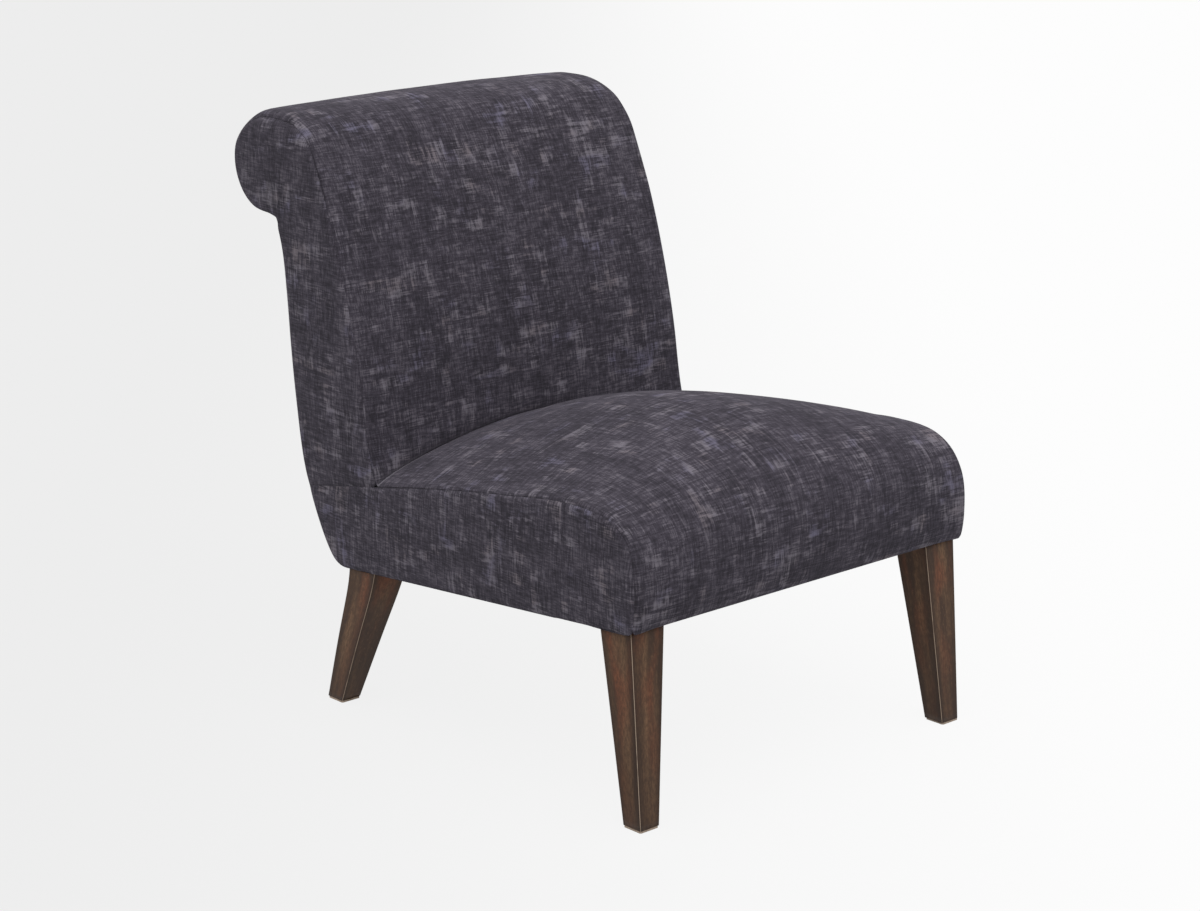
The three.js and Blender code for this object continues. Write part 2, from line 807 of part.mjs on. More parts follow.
function teeNutGeometry() {
  const bore = boltRadius + fit;
  const section = [
    new THREE.Vector2(bore, -nutBarrelLength),
    new THREE.Vector2(nutBarrelRadius, -nutBarrelLength),
    new THREE.Vector2(nutBarrelRadius, 0),
    new THREE.Vector2(nutFlangeRadius, 0),
    new THREE.Vector2(nutFlangeRadius, nutFlangeThickness),
    new THREE.Vector2(bore, nutFlangeThickness),
    new THREE.Vector2(bore, -nutBarrelLength),
  ];
  return closedSolid(new THREE.LatheGeometry(section, roundSides)).rotateX(Math.PI / 2);
}

function cornerBlockGeometry(corner) {
  const { inward } = legFaces(corner);
  const start = blockStart(corner);
  const railFaceAt = (y) => corner.side * (halfWidthAt(y) - frameInset - fit);
  const far = start + inward * blockLeg;
  const near = start + inward * blockNose;
  const plan = new THREE.Shape([
    new THREE.Vector2(railFaceAt(start), start),
    new THREE.Vector2(railFaceAt(far), far),
    new THREE.Vector2(railFaceAt(far) - corner.side * blockNose, far),
    new THREE.Vector2(railFaceAt(start) - corner.side * blockLeg, near),
    new THREE.Vector2(railFaceAt(start) - corner.side * blockLeg, start),
  ]);
  const board = new THREE.ExtrudeGeometry(plan, { depth: blockThickness, bevelEnabled: false });
  const place = boltPlace(corner);
  const through = rod(boltRadius + fit, 2 * (blockAlongBolt + cutOverrun)).applyMatrix4(place);
  const barrelRoom = nutBarrelLength + fit + cutOverrun;
  const barrel = rod(nutBarrelRadius + fit, barrelRoom)
    .translate(0, 0, blockAlongBolt + cutOverrun - barrelRoom / 2)
    .applyMatrix4(place);
  return drilled(onRakedPlane(board, frameRise), [through, barrel]);
}

// Lays a flat extrusion on the raked plane, at a height above the hem.
function onRakedPlane(geometry, rise) {
  const shear = new THREE.Matrix4().makeBasis(
    new THREE.Vector3(1, 0, 0),
    new THREE.Vector3(0, 1, -rake),
    new THREE.Vector3(0, 0, 1),
  );
  shear.setPosition(0, 0, frontHemHeight + rise);
  return closedSolid(geometry.applyMatrix4(shear));
}

function dustCoverGeometry() {
  const clear = legTop + 2 * fit;
  const edgeAt = (y) => halfWidthAt(y) - underCover;
  const notchEdge = (front) => legFaces({ side: 1, front }).outer - clear;
  const frontNotch = frontLegSetback + clear;
  const rearNotch = hemDepth - rearLegSetback - clear;
  const half = [
    [notchEdge(true), frontRailFace],
    [notchEdge(true), frontNotch],
    [edgeAt(frontNotch), frontNotch],
    [edgeAt(rearNotch), rearNotch],
    [notchEdge(false), rearNotch],
    [notchEdge(false), rearRailBack],
  ];
  const plan = new THREE.Shape([
    ...half.map(([x, y]) => new THREE.Vector2(x, y)),
    ...half.reverse().map(([x, y]) => new THREE.Vector2(-x, y)),
  ]);
  const cloth = new THREE.ExtrudeGeometry(plan, { depth: dustClothThickness, bevelEnabled: false });
  return onRakedPlane(cloth, frameRise - fit - dustClothThickness);
}

// Sinuous springs: straight bars joined by half turns, in one wire that arches between the rails.

function springPath(centre) {
  const bars = Math.round(barSpan / springPitch) + 1;
  const pitch = barSpan / (bars - 1);
  const turn = pitch / 2;
  const reach = springWidth / 2 - wireRadius;
  const straight = reach - turn;
  const at = (x, y) => new THREE.Vector3(centre + x, y, springHeightAt(y));
  const path = [at(-reach, frontBarDepth)];
  for (let bar = 0; bar < bars - 1; bar++) {
    const side = bar % 2 ? -1 : 1;
    const y = frontBarDepth + bar * pitch;
    for (let step = 0; step <= turnSteps; step++) {
      const angle = (Math.PI * step) / turnSteps;
      path.push(at(side * (straight + turn * Math.sin(angle)), y + turn * (1 - Math.cos(angle))));
    }
  }
  path.push(at((bars % 2 ? 1 : -1) * reach, rearBarDepth));
  return path;
}

// The least gap between stretches of the wire that aren't neighbours, measured between points along it.
function leastGap(path, reach) {
  const points = new THREE.CatmullRomCurve3(path, false, "centripetal").getPoints(2 * path.length);
  const run = [0];
  for (let i = 1; i < points.length; i++) run.push(run[i - 1] + points[i].distanceTo(points[i - 1]));
  let least = Infinity;
  for (let i = 0; i < points.length; i++) {
    for (let j = i + 1; j < points.length; j++) {
      if (run[j] - run[i] > reach) least = Math.min(least, points[i].distanceTo(points[j]));
    }
  }
  return least - 2 * wireRadius;
}

function wireGeometry(path, radius) {
  const up = new THREE.Vector3(0, 0, 1);
  const rings = path.map((point, i) => {
    const along = path[Math.min(i + 1, path.length - 1)].clone().sub(path[Math.max(i - 1, 0)]).normalize();
    const aside = along.clone().cross(up).normalize();
    const lift = aside.clone().cross(along);
    return Array.from({ length: wireSides }, (_, side) => {
      const angle = (2 * Math.PI * side) / wireSides;
      return point
        .clone()
        .addScaledVector(aside, radius * Math.cos(angle))
        .addScaledVector(lift, radius * Math.sin(angle));
    });
  });
  return throughRings(rings);
}

// A strip of steel nailed on the rail that curls over the spring's end bar, open to the rail's outer side.
function clipGeometry() {
  const inner = clipRadius - clipThickness;
  const lip = THREE.MathUtils.degToRad(clipLipAngle);
  const strip = new THREE.Shape();
  strip.moveTo(-clipTail, -clipRadius);
  strip.lineTo(0, -clipRadius);
  strip.absarc(0, 0, clipRadius, -Math.PI / 2, lip, false);
  strip.absarc(0, 0, inner, lip, -Math.PI / 2, true);
  strip.lineTo(-clipTail, -inner);
  strip.closePath();
  return acrossFromProfile(strip, clipWidth, clipSides);
}

// Assembly

const sides = [
  { name: "left", side: -1 },
  { name: "right", side: 1 },
];

function mesh(name, geometry, finish) {
  const made = new THREE.Mesh(geometry, finish);
  made.name = name;
  return made;
}

function coversGroup() {
  const group = new THREE.Group();
  group.add(mesh("seat_cover", seatCoverGeometry(), slubFabric()));
  group.add(mesh("inside_back_cover", insideBackCoverGeometry(), slubFabric()));
  group.add(mesh("outside_back_cover", outsideBackCoverGeometry(), slubFabric()));
  for (const { name, side } of sides) {
    const seatSide = sidePlate(seatSideOutline(), side, 0, coverThickness);
    const backSide = sidePlate(backSideOutline(), side, 0, coverThickness);
    group.add(mesh("seat_side_cover_" + name, seatSide, slubFabric()));
    group.add(mesh("back_side_cover_" + name, backSide, slubFabric()));
  }
  group.add(mesh("dust_cover", dustCoverGeometry(), blackCloth()));
  return group;
}

function paddingGroup() {
  const group = new THREE.Group();
  group.add(mesh("seat_foam", seatFoamGeometry(), paddingFoam()));
  group.add(mesh("back_foam", backFoamGeometry(), paddingFoam()));
  group.add(mesh("roll_foam", rollFoamGeometry(), paddingFoam()));
  group.add(mesh("deck_cloth", deckClothGeometry(), blackCloth()));
  return group;
}

function frameGroup() {
  const group = new THREE.Group();
  const frontHalf = halfWidthAt(frontRailBack) - underCover;
  const rearHalf = halfWidthAt(rearRailBack) - frameInset - fit;
  const front = crossRailGeometry(frontRailFace, frontRailBack, frontRailTop, frontHalf);
  const rear = crossRailGeometry(rearRailFront, rearRailBack, rearRailTop, rearHalf);
  group.add(mesh("front_rail", front, plywood()), mesh("rear_rail", rear, plywood()));
  for (const { name, side } of sides) {
    const rail = sidePlate(sideRailOutline(), side, underCover, railThickness);
    const post = sidePlate(postOutline(), side, underCover, railThickness);
    group.add(mesh("side_rail_" + name, rail, plywood()), mesh("back_post_" + name, post, plywood()));
  }
  for (const corner of corners) {
    group.add(mesh("corner_block_" + corner.name, cornerBlockGeometry(corner), beech()));
  }
  group.add(backRail("tacking_rail", tackingRailShare * topOfScroll, tackingRailHeight));
  group.add(backRail("top_back_rail", topRailShare * topOfScroll, topRailHeight));
  group.add(rollCore());
  return group;
}

function legsGroup() {
  const group = new THREE.Group();
  for (const corner of corners) {
    group.add(mesh("leg_" + corner.name, legGeometry(corner), walnut()));
    group.add(mesh("glide_" + corner.name, glideGeometry(corner), paleGlide()));
    const fixings = new THREE.Group();
    fixings.position.copy(boltCentre(corner));
    fixings.rotation.x = rakeAngle;
    fixings.add(mesh("hanger_bolt_" + corner.name, closedSolid(hangerBoltGeometry()), zincSteel()));
    const nut = mesh("tee_nut_" + corner.name, teeNutGeometry(), zincSteel());
    nut.position.z = blockAlongBolt + fit;
    fixings.add(nut);
    group.add(fixings);
  }
  return group;
}

function suspensionGroup() {
  const group = new THREE.Group();
  const first = (-(springCount - 1) / 2) * springSpacing;
  for (let i = 0; i < springCount; i++) {
    const centre = first + i * springSpacing;
    const number = i + 1;
    group.add(mesh("seat_spring_" + number, wireGeometry(springPath(centre), wireRadius), springSteel()));
    const frontClip = mesh("spring_clip_front_" + number, clipGeometry(), zincSteel());
    frontClip.position.set(centre, frontBarDepth, springHeightAt(frontBarDepth));
    const rearClip = mesh("spring_clip_rear_" + number, clipGeometry(), zincSteel());
    rearClip.position.set(centre, rearBarDepth, springHeightAt(rearBarDepth));
    rearClip.rotation.z = Math.PI;
    group.add(frontClip, rearClip);
  }
  const tieDepth = (frontBarDepth + rearBarDepth) / 2;
  const tieLength = (springCount - 1) * springSpacing + springWidth + 2 * tieWireOverhang;
  const tie = mesh("tie_wire", closedSolid(rod(tieWireRadius, tieLength, wireSides)), springSteel());
  tie.rotation.y = Math.PI / 2;
  tie.position.set(0, tieDepth, springHeightAt(tieDepth) - wireRadius - fit - tieWireRadius);
  group.add(tie);
  return group;
}

function backStrapsGroup() {
  const group = new THREE.Group();
  const heightAt = (share) => insetPoint(backStations, share * topOfScroll, supportInset(0)).y;
  const low = heightAt(tackingRailShare) + tackingRailHeight / 2;
  const high = heightAt(topRailShare) - topRailHeight / 2;
  for (let i = 0; i < strapCount; i++) {
    const height = low + ((i + 1 / 2) * (high - low)) / strapCount;
    group.add(mesh("back_webbing_" + (i + 1), strapGeometry(height), elasticStrap()));
  }
  return group;
}

const springGap = leastGap(springPath(0), (Math.PI * springPitch) / 2);
console.log("least gap of a seat spring to itself, mm:", springGap.toFixed(2));

const body = new THREE.Group();
body.add(coversGroup(), paddingGroup(), frameGroup(), legsGroup(), suspensionGroup(), backStrapsGroup());
const bounds = new THREE.Box3().setFromObject(body, true);
body.position.y = -(bounds.min.y + bounds.max.y) / 2;

const chair = new THREE.Group();
chair.add(body);
export default chair;
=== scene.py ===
import math

import bpy
import numpy as np
from mathutils import Matrix, Vector, kdtree, noise
from mathutils.geometry import delaunay_2d_cdt


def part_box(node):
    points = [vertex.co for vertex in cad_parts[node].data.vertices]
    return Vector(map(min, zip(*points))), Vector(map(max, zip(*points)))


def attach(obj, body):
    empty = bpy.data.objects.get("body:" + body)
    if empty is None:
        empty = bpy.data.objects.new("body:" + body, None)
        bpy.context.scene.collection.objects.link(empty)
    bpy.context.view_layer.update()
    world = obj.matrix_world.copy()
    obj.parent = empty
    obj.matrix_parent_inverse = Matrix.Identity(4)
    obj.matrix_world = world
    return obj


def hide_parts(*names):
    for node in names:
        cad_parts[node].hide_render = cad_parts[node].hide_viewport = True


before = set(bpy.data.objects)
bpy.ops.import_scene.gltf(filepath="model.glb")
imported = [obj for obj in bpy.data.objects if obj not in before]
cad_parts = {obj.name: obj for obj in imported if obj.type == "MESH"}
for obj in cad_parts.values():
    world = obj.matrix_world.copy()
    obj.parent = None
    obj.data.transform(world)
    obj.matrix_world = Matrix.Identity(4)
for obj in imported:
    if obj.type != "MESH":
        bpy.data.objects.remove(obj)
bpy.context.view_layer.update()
print("frame loaded:", len(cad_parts), "nodes")

# The chair's side view is drawn from its front hem: y runs back from the hem, z up from the floor
chair = {
    "seatWidth": 0.584,
    "rearNarrowing": 0.0136,
    "hemDepth": 0.585,
    "frontHem": 0.248,
    "hemFall": 0.0535,
    "seatBox": 0.138,
    "seatCrown": 0.071,
    "backRise": 0.476,
    "backLean": 0.240,
    "tuckDepth": 0.090,
    "creaseShare": 0.413,
    "scrollRadius": 0.065,
    "scrollCrown": 0.005,
    "scrollEnd": -98,  # degrees
    "scrollSteps": 40,
    "junctionInset": 0.025,
    "junctionDrop": 0.071,
    "rearBow": 0.040,
    "seamDrop": 0.032,
    "shoulder": 0.005,  # soft edge of a panel beside its side seams
    "shoulderPower": 16,
    "crownPower": 1.65,
    "railFace": 0.0064,  # front rail behind the front hem
}
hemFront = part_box("front_rail")[0].y - chair["railFace"]
creaseDepth = chair["hemDepth"] - chair["tuckDepth"]
creaseHeight = chair["frontHem"] + chair["creaseShare"] * chair["seatBox"]
scrollDepth = creaseDepth + chair["backLean"]
scrollHeight = creaseHeight + chair["backRise"] - chair["scrollRadius"]
junctionDepth = scrollDepth - chair["junctionInset"]
junctionHeight = scrollHeight - chair["junctionDrop"]


def halfWidthAt(y):
    return chair["seatWidth"] / 2 - chair["rearNarrowing"] * y / chair["hemDepth"]


def hemHeightAt(y):
    return chair["frontHem"] - chair["hemFall"] * y / chair["hemDepth"]


# depth share, height share, crown share
seatOutline = [
    (0, 0, 0), (-0.006, 0.29, 0.1), (-0.002, 0.57, 0.13), (0.015, 0.79, 0.2), (0.07, 0.96, 0.38),
    (0.19, 1, 0.76), (0.42, 0.87, 1), (0.66, 0.703, 0.93), (0.85, 0.543, 0.68), (0.95, 0.464, 0.55),
]
backOutline = [
    (0, 0, 0.2), (0.084, 0.131, 0.4), (0.143, 0.308, 0.5), (0.222, 0.483, 0.5), (0.322, 0.654, 0.5),
    (0.45, 0.825, 0.5), (0.525, 0.904, 0.6), (0.626, 0.97, 0.75), (0.79, 0.998, 0.95), (1, 1, 1),
]
# share of the way down, share of the bow
rearOutline = [
    (0, 0), (0.09, -0.04), (0.236, 0.21), (0.384, 0.53), (0.533, 0.79),
    (0.711, 1), (0.827, 0.88), (0.936, 0.55), (0.985, 0.24), (1, 0),
]


def unit(vectors):
    return vectors / np.linalg.norm(vectors, axis=-1, keepdims=True)


def smoothRun(controls, steps=10):
    # centripetal curve through the points, without a corner at any of them
    points = [Vector(c) for c in controls]
    points = [points[0] * 2 - points[1], *points, points[-1] * 2 - points[-2]]
    run = []
    for a, b, c, d in zip(points, points[1:], points[2:], points[3:]):
        before, between, after = [max((q - p).length, 1e-9) ** 0.5 for p, q in ((a, b), (b, c), (c, d))]
        leave = ((b - a) / before - (c - a) / (before + between) + (c - b) / between) * between
        arrive = ((c - b) / between - (d - b) / (between + after) + (d - c) / after) * between
        for i in range(steps):
            s = i / steps
            bend = (3 * (c - b) - 2 * leave - arrive) * s ** 2
            twist = (2 * (b - c) + leave + arrive) * s ** 3
            run.append(b + leave * s + bend + twist)
    run.append(points[-2])
    return np.array(run)


def stationsAlong(points):
    gaps = np.linalg.norm(np.diff(points[:, :2], axis=0), axis=1)
    points = points[np.concatenate([[True], gaps > 1e-6])]
    place = points[:, :2]
    arc = np.concatenate([[0], np.cumsum(np.linalg.norm(np.diff(place, axis=0), axis=1))])
    along = unit(np.gradient(place, arc, axis=0))
    normal = np.stack([-along[:, 1], along[:, 0]], 1)
    return {"arc": arc, "place": place, "normal": normal, "crown": points[:, 2]}


def drawSeat():
    return stationsAlong(smoothRun([
        (d * chair["hemDepth"], chair["frontHem"] + h * chair["seatBox"], c * chair["seatCrown"])
        for d, h, c in seatOutline
    ]))


def drawBack():
    crown = chair["scrollCrown"]
    run = smoothRun([
        (creaseDepth + d * chair["backLean"], creaseHeight + h * chair["backRise"], c * crown)
        for d, h, c in backOutline
    ])
    start, stop = math.pi / 2, math.radians(chair["scrollEnd"])
    scroll = []
    for share in np.linspace(0, 1, chair["scrollSteps"] + 1)[1:]:
        angle = start + (stop - start) * share
        scroll.append((
            scrollDepth + chair["scrollRadius"] * math.cos(angle),
            scrollHeight + chair["scrollRadius"] * math.sin(angle),
            crown * (1 - share),
        ))
    return stationsAlong(np.vstack([run, scroll, [(junctionDepth, junctionHeight, 0)]]))


def drawRear():
    points = []
    for down, bow in rearOutline:
        y = junctionDepth + (chair["hemDepth"] - junctionDepth) * down
        z = junctionHeight + (hemHeightAt(chair["hemDepth"]) - junctionHeight) * down
        points.append((y + bow * chair["rearBow"], z, 0))
    return stationsAlong(smoothRun(points))


def surfaceAt(stations, arc, u, sink=0.0):
    # a point of the crowned panel, at width share u
    arc, u = np.broadcast_arrays(np.asarray(arc, float), np.asarray(u, float))
    y, z, ny, nz, crown = [
        np.interp(arc, stations["arc"], column)
        for column in (*stations["place"].T, *stations["normal"].T, stations["crown"])
    ]
    rise = crown * (1 - np.abs(u) ** chair["crownPower"])
    rise += np.minimum(crown, chair["shoulder"]) * (1 - np.abs(u) ** chair["shoulderPower"]) - sink
    y, z = y + ny * rise, z + nz * rise
    return np.stack([u * halfWidthAt(y), y, z], -1)


seatLine, backLine, rearLine = drawSeat(), drawBack(), drawRear()

# Cover panels
covers = {
    "columnStep": 0.012,
    "rowStep": 0.011,
    "edgeSteps": (0.003, 0.007, 0.013, 0.021),  # columns close to a side seam
    "swell": {"seat": 0.006, "back": 0.005, "rear": 0.002},
    "sinkPower": 5,
    "sinkEase": 0.12,  # share of a panel's length
    "creaseWithin": 0.45,  # share of the back's length that the seat can meet
    "pressure": 4,
    "fullness": 0.006,  # how much bigger the seat's cloth is than its sunk shape
    "give": {"panel": 0.0022, "side": 0.003},  # how far the settled cloth may lie from the drawn shape
    "frames": 20,
    "quality": 5,
    "mass": 0.3,
    "stiffness": 25,
    "shear": 5,
    "bending": 4,
    "clothThickness": 0.002,
}
# How each seam draws the cloth: lift of its full edge, radius of its corner, depth and reach of the
# valley on its line, and how much painted shade darkens the line
seamStyle = {
    "plain": (0.0006, 0.005, 0.0010, 0.0026, 0.8),
    "nose": (0.0058, 0.012, 0.0, 0.0024, 0.0),
    "soft": (0.0034, 0.011, 0.0, 0.0024, 0.0),
    "cap": (0.0006, 0.022, 0.0010, 0.0022, 0.55),
    "rim": (0.0006, 0.002, 0.0006, 0.0022, 0.6),
    "rear": (0.0, 0.004, 0.0004, 0.002, 0.7),
    "flat": (0.0, 0.0, 0.0008, 0.0022, 0.45),
    "tuck": (0.0, 0.0, 0.0012, 0.006, 0.0),
    "hem": (0.0, 0.004, 0.0, 0.002, 0.0),
}
sewing = {
    "loft": 0.0015,  # how far the wadding under the cloth lifts it
    "cornerPull": 0.414,  # how far a round corner lies inside the sharp one, in radii
    "liftReach": 0.01,
    "unevenness": 0.0007,
    "waves": 14,  # of the unevenness in a metre
    "calm": 0.03,  # width beside a seam where the unevenness fades
    "insetPower": 4,
    # painted highlight along the crease's edge of the seat and of the back, as a share
    "seatLit": 1.0,
    "backLit": 0.7,
}


def columnShares():
    half, steps = chair["seatWidth"] / 2, covers["edgeSteps"]
    inner = np.arange(0, half - steps[-1] - covers["columnStep"] / 2, covers["columnStep"])
    right = np.concatenate([inner, [half - s for s in reversed(steps)], [half]]) / half
    return np.concatenate([-right[:0:-1], right])


def creaseArcs(shares):
    # where each column of the seat meets the face of the back
    seatArcs, backArcs = [], []
    rising = backLine["arc"] < backLine["arc"][-1] * covers["creaseWithin"]
    for u in shares:
        back = surfaceAt(backLine, backLine["arc"][rising], u)
        seat = surfaceAt(seatLine, seatLine["arc"], u)
        past = seat[:, 1] - np.interp(seat[:, 2], back[:, 2], back[:, 1])
        late = len(past) // 2
        i = late + int(np.argmax(past[late:] > 0))
        share = past[i - 1] / (past[i - 1] - past[i])
        arc = seatLine["arc"][i - 1] + share * (seatLine["arc"][i] - seatLine["arc"][i - 1])
        seatArcs.append(arc)
        height = surfaceAt(seatLine, arc, u)[2]
        backArcs.append(np.interp(height, back[:, 2], backLine["arc"][rising]))
    return np.array(seatArcs), np.array(backArcs)


def easedSink(swell, u, t):
    across = 1 - np.abs(u) ** covers["sinkPower"]
    along = np.clip(np.minimum(t, 1 - t) / covers["sinkEase"], 0, 1)
    return swell * across * along * along * (3 - 2 * along)


def insideLoop(points, loop):
    inside = np.zeros(len(points), bool)
    for a, b in zip(loop, np.roll(loop, -1, 0)):
        crosses = (a[1] > points[:, 1]) != (b[1] > points[:, 1])
        with np.errstate(divide="ignore", invalid="ignore"):
            at = a[0] + (points[:, 1] - a[1]) * (b[0] - a[0]) / (b[1] - a[1])
        inside ^= crosses & (points[:, 0] < at)
    return inside


# How points are spread inside an outline
spread = {
    "rowRise": 0.866,
    "beside": 0.0045,  # a row of points that follows the outline
    "besideGaps": (0.0038, 0.003),  # least distance from the outline and from each other
    "gridGaps": (0.62, 0.55),  # the same for the other points, as shares of a step
}


def stepsBetween(a, b, step, first=1):
    # even points on the way from a to b
    count = max(1, round(np.linalg.norm(b - a) / step))
    return [a + (b - a) * i / count for i in range(first, count)]


def turnFaces(points, triangles, sign):
    corners = points[triangles]
    turn = np.cross(corners[:, 1] - corners[:, 0], corners[:, 2] - corners[:, 0])
    wrong = (turn > 0) != (sign > 0)
    triangles[wrong] = triangles[wrong][:, ::-1]


def quadsOf(*corners):
    return np.stack(corners, -1).reshape(-1, 4)


def fillLoop(loop, inner, step):
    # triangles inside a closed outline, with the inner line kept as an edge
    fixed = np.vstack([loop, inner])
    low, high = loop.min(0), loop.max(0)
    grid = []
    for row, z in enumerate(np.arange(low[1], high[1], step * spread["rowRise"])):
        for y in np.arange(low[0] + (row % 2) * step / 2, high[0], step):
            grid.append((y, z))
    along = unit(np.roll(loop, -1, 0) - np.roll(loop, 1, 0))
    near = loop + np.stack([along[:, 1], -along[:, 0]], 1) * spread["beside"]
    extra = np.vstack([near, grid])
    extra = extra[insideLoop(extra, loop)]
    tree = kdtree.KDTree(len(fixed))
    for i, p in enumerate(fixed):
        tree.insert((p[0], p[1], 0), i)
    tree.balance()
    kept = []
    gridGaps = [step * share for share in spread["gridGaps"]]
    for i, p in enumerate(extra):
        fromEdge, apart = spread["besideGaps"] if i < len(near) else gridGaps
        if tree.find((p[0], p[1], 0))[2] < min(fromEdge, gridGaps[0]):
            continue
        if kept and np.min(np.linalg.norm(np.array(kept) - p, axis=1)) < apart:
            continue
        kept.append(p)
    points = np.vstack([fixed, kept])
    edges = [(i, (i + 1) % len(loop)) for i in range(len(loop))]
    edges += [(len(loop) + i, len(loop) + i + 1) for i in range(len(inner) - 1)]
    _, _, faces, origin, _, _ = delaunay_2d_cdt([Vector(p) for p in points], edges, [], 0, 1e-9)
    index = [o[0] for o in origin]
    faces = np.array([[index[i] for i in f] for f in faces if len(f) == 3])
    centres = points[faces].mean(1)
    return points, faces[insideLoop(centres, loop)]


def buildCover():
    shares = columnShares()
    seatArc, backArc = creaseArcs(shares)
    swell = covers["swell"]
    vertices, panels = [], {}

    def addGrid(name, line, starts, stops, amount, first=None):
        length = float(np.max(stops - starts))
        count = max(2, round(length / covers["rowStep"]))
        t = np.linspace(0, 1, count + 1)[:, None]
        arc = starts[None, :] + (stops - starts)[None, :] * t
        u = np.broadcast_to(shares, arc.shape)
        places = surfaceAt(line, arc, u, easedSink(amount, u, t))
        target = surfaceAt(line, arc, u)
        offset = 0 if first is None else 1
        rows = len(vertices) + np.arange((count + 1 - offset) * len(shares)).reshape(-1, len(shares))
        vertices.extend(places[offset:].reshape(-1, 3))
        goals.extend(target[offset:].reshape(-1, 3))
        ids = rows if first is None else np.vstack([first[None, :], rows])
        panels[name] = {"ids": ids, "uv": np.stack([target[..., 0], arc], -1)}
        return ids

    goals = []
    zeros = np.zeros(len(shares))
    seat = addGrid("seat", seatLine, zeros, seatArc, swell["seat"])
    back = addGrid("back", backLine, backArc, zeros + backLine["arc"][-1], swell["back"], seat[-1])
    rear = addGrid("rear", rearLine, zeros, zeros + rearLine["arc"][-1], swell["rear"], back[-1])

    faces = []
    for ids in (seat, back, rear):
        faces += [*quadsOf(ids[:-1, :-1], ids[:-1, 1:], ids[1:, 1:], ids[1:, :-1])]
    seams = {"side": [], "rear": [], "tuck": [seat[-1]], "flat": [back[-1]], "hem": [seat[0], rear[-1]]}

    for side, column in (("left", 0), ("right", -1)):
        sign = -1 if side == "left" else 1
        edge = [*seat[:, column], *back[1:, column], *rear[1:, column]]
        places = np.array(vertices)[:, 1:]
        loop = places[edge]
        loop = np.vstack([loop, stepsBetween(loop[-1], loop[0], covers["rowStep"])])
        # the level seam between seat side and back side starts at the crease
        start = places[seat[-1, column]]
        goal = start[1] - chair["seamDrop"]
        endId = min(rear[1:, column], key=lambda i: abs(places[i][1] - goal))
        stop = places[endId]
        level = np.array(stepsBetween(start, stop, covers["rowStep"]))
        points, triangles = fillLoop(loop, level, covers["columnStep"])
        y, z = points[len(edge):].T
        ids = np.concatenate([edge, len(vertices) + np.arange(len(y))])
        added = np.stack([sign * halfWidthAt(y), y, z], 1)
        vertices.extend(added)
        goals.extend(added)
        centres = points[triangles].mean(1)
        share = (centres[:, 0] - start[0]) / (stop[0] - start[0])
        upper = (centres[:, 0] > start[0]) & (centres[:, 1] > start[1] + (stop[1] - start[1]) * share)
        turnFaces(points, triangles, sign)
        for name, mask in (("seatSide", ~upper), ("backSide", upper)):
            panels[name + side.capitalize()] = {"triangles": ids[triangles[mask]], "side": sign}
        faces += [tuple(ids[t]) for t in triangles]
        hemIds = ids[len(edge):len(loop)]
        levelIds = ids[len(loop):len(loop) + len(level)]
        seams["side"].append([*seat[:, column], *back[1:, column]])
        seams["rear"].append([back[-1, column], *rear[1:, column]])
        seams["hem"].append([edge[-1], *hemIds, edge[0]])
        seams["flat"].append([seat[-1, column], *levelIds, endId])
    return np.array(vertices), np.array(goals), faces, panels, seams, shares


def meshFrom(name, vertices, faces):
    mesh = bpy.data.meshes.new(name)
    mesh.from_pydata([tuple(v) for v in vertices], [], [tuple(int(i) for i in f) for f in faces])
    mesh.update()
    return mesh


scene = bpy.context.scene


def addObject(name, data):
    thing = bpy.data.objects.new(name, data)
    scene.collection.objects.link(thing)
    return thing


def inflate(vertices, faces, groups):
    mesh = meshFrom("coverCloth", vertices, faces)
    cloth = addObject("coverCloth", mesh)
    for name, ids in groups.items():
        cloth.vertex_groups.new(name=name).add([int(i) for i in ids], 1.0, "REPLACE")
    modifier = cloth.modifiers.new("cloth", "CLOTH")
    settings = modifier.settings
    settings.quality = covers["quality"]
    settings.mass = covers["mass"]
    settings.tension_stiffness = settings.compression_stiffness = covers["stiffness"]
    settings.shear_stiffness = covers["shear"]
    settings.bending_stiffness = covers["bending"]
    settings.vertex_group_mass = "seams"
    settings.vertex_group_shrink = "full"
    settings.shrink_max = -covers["fullness"]
    settings.use_pressure = True
    settings.uniform_pressure_force = covers["pressure"]
    settings.effector_weights.gravity = 0
    modifier.point_cache.frame_start = 1
    modifier.point_cache.frame_end = covers["frames"]
    for number in range(1, covers["frames"] + 1):
        scene.frame_set(number)
    made = cloth.evaluated_get(bpy.context.evaluated_depsgraph_get())
    swollen = np.zeros(len(vertices) * 3)
    made.data.vertices.foreach_get("co", swollen)
    scene.frame_set(1)
    bpy.data.objects.remove(cloth)
    bpy.data.meshes.remove(mesh)
    return swollen.reshape(-1, 3)


def capMoves(start, moved, limit):
    move = moved - start
    length = np.linalg.norm(move, axis=1)
    return start + move * np.minimum(1, limit / np.maximum(length, 1e-9))[:, None]


def pointNormals(vertices, faces):
    normals = np.zeros_like(vertices)
    for f in (np.array([f for f in faces if len(f) == n]) for n in (3, 4)):
        if not len(f):
            continue
        a, b, c = vertices[f[:, 0]], vertices[f[:, 1]], vertices[f[:, 2]]
        d = vertices[f[:, -1]]
        face = np.cross(c - a, d - b) if f.shape[1] == 4 else np.cross(b - a, c - a)
        for k in range(f.shape[1]):
            np.add.at(normals, f[:, k], face)
    return normals / np.maximum(np.linalg.norm(normals, axis=1), 1e-12)[:, None]


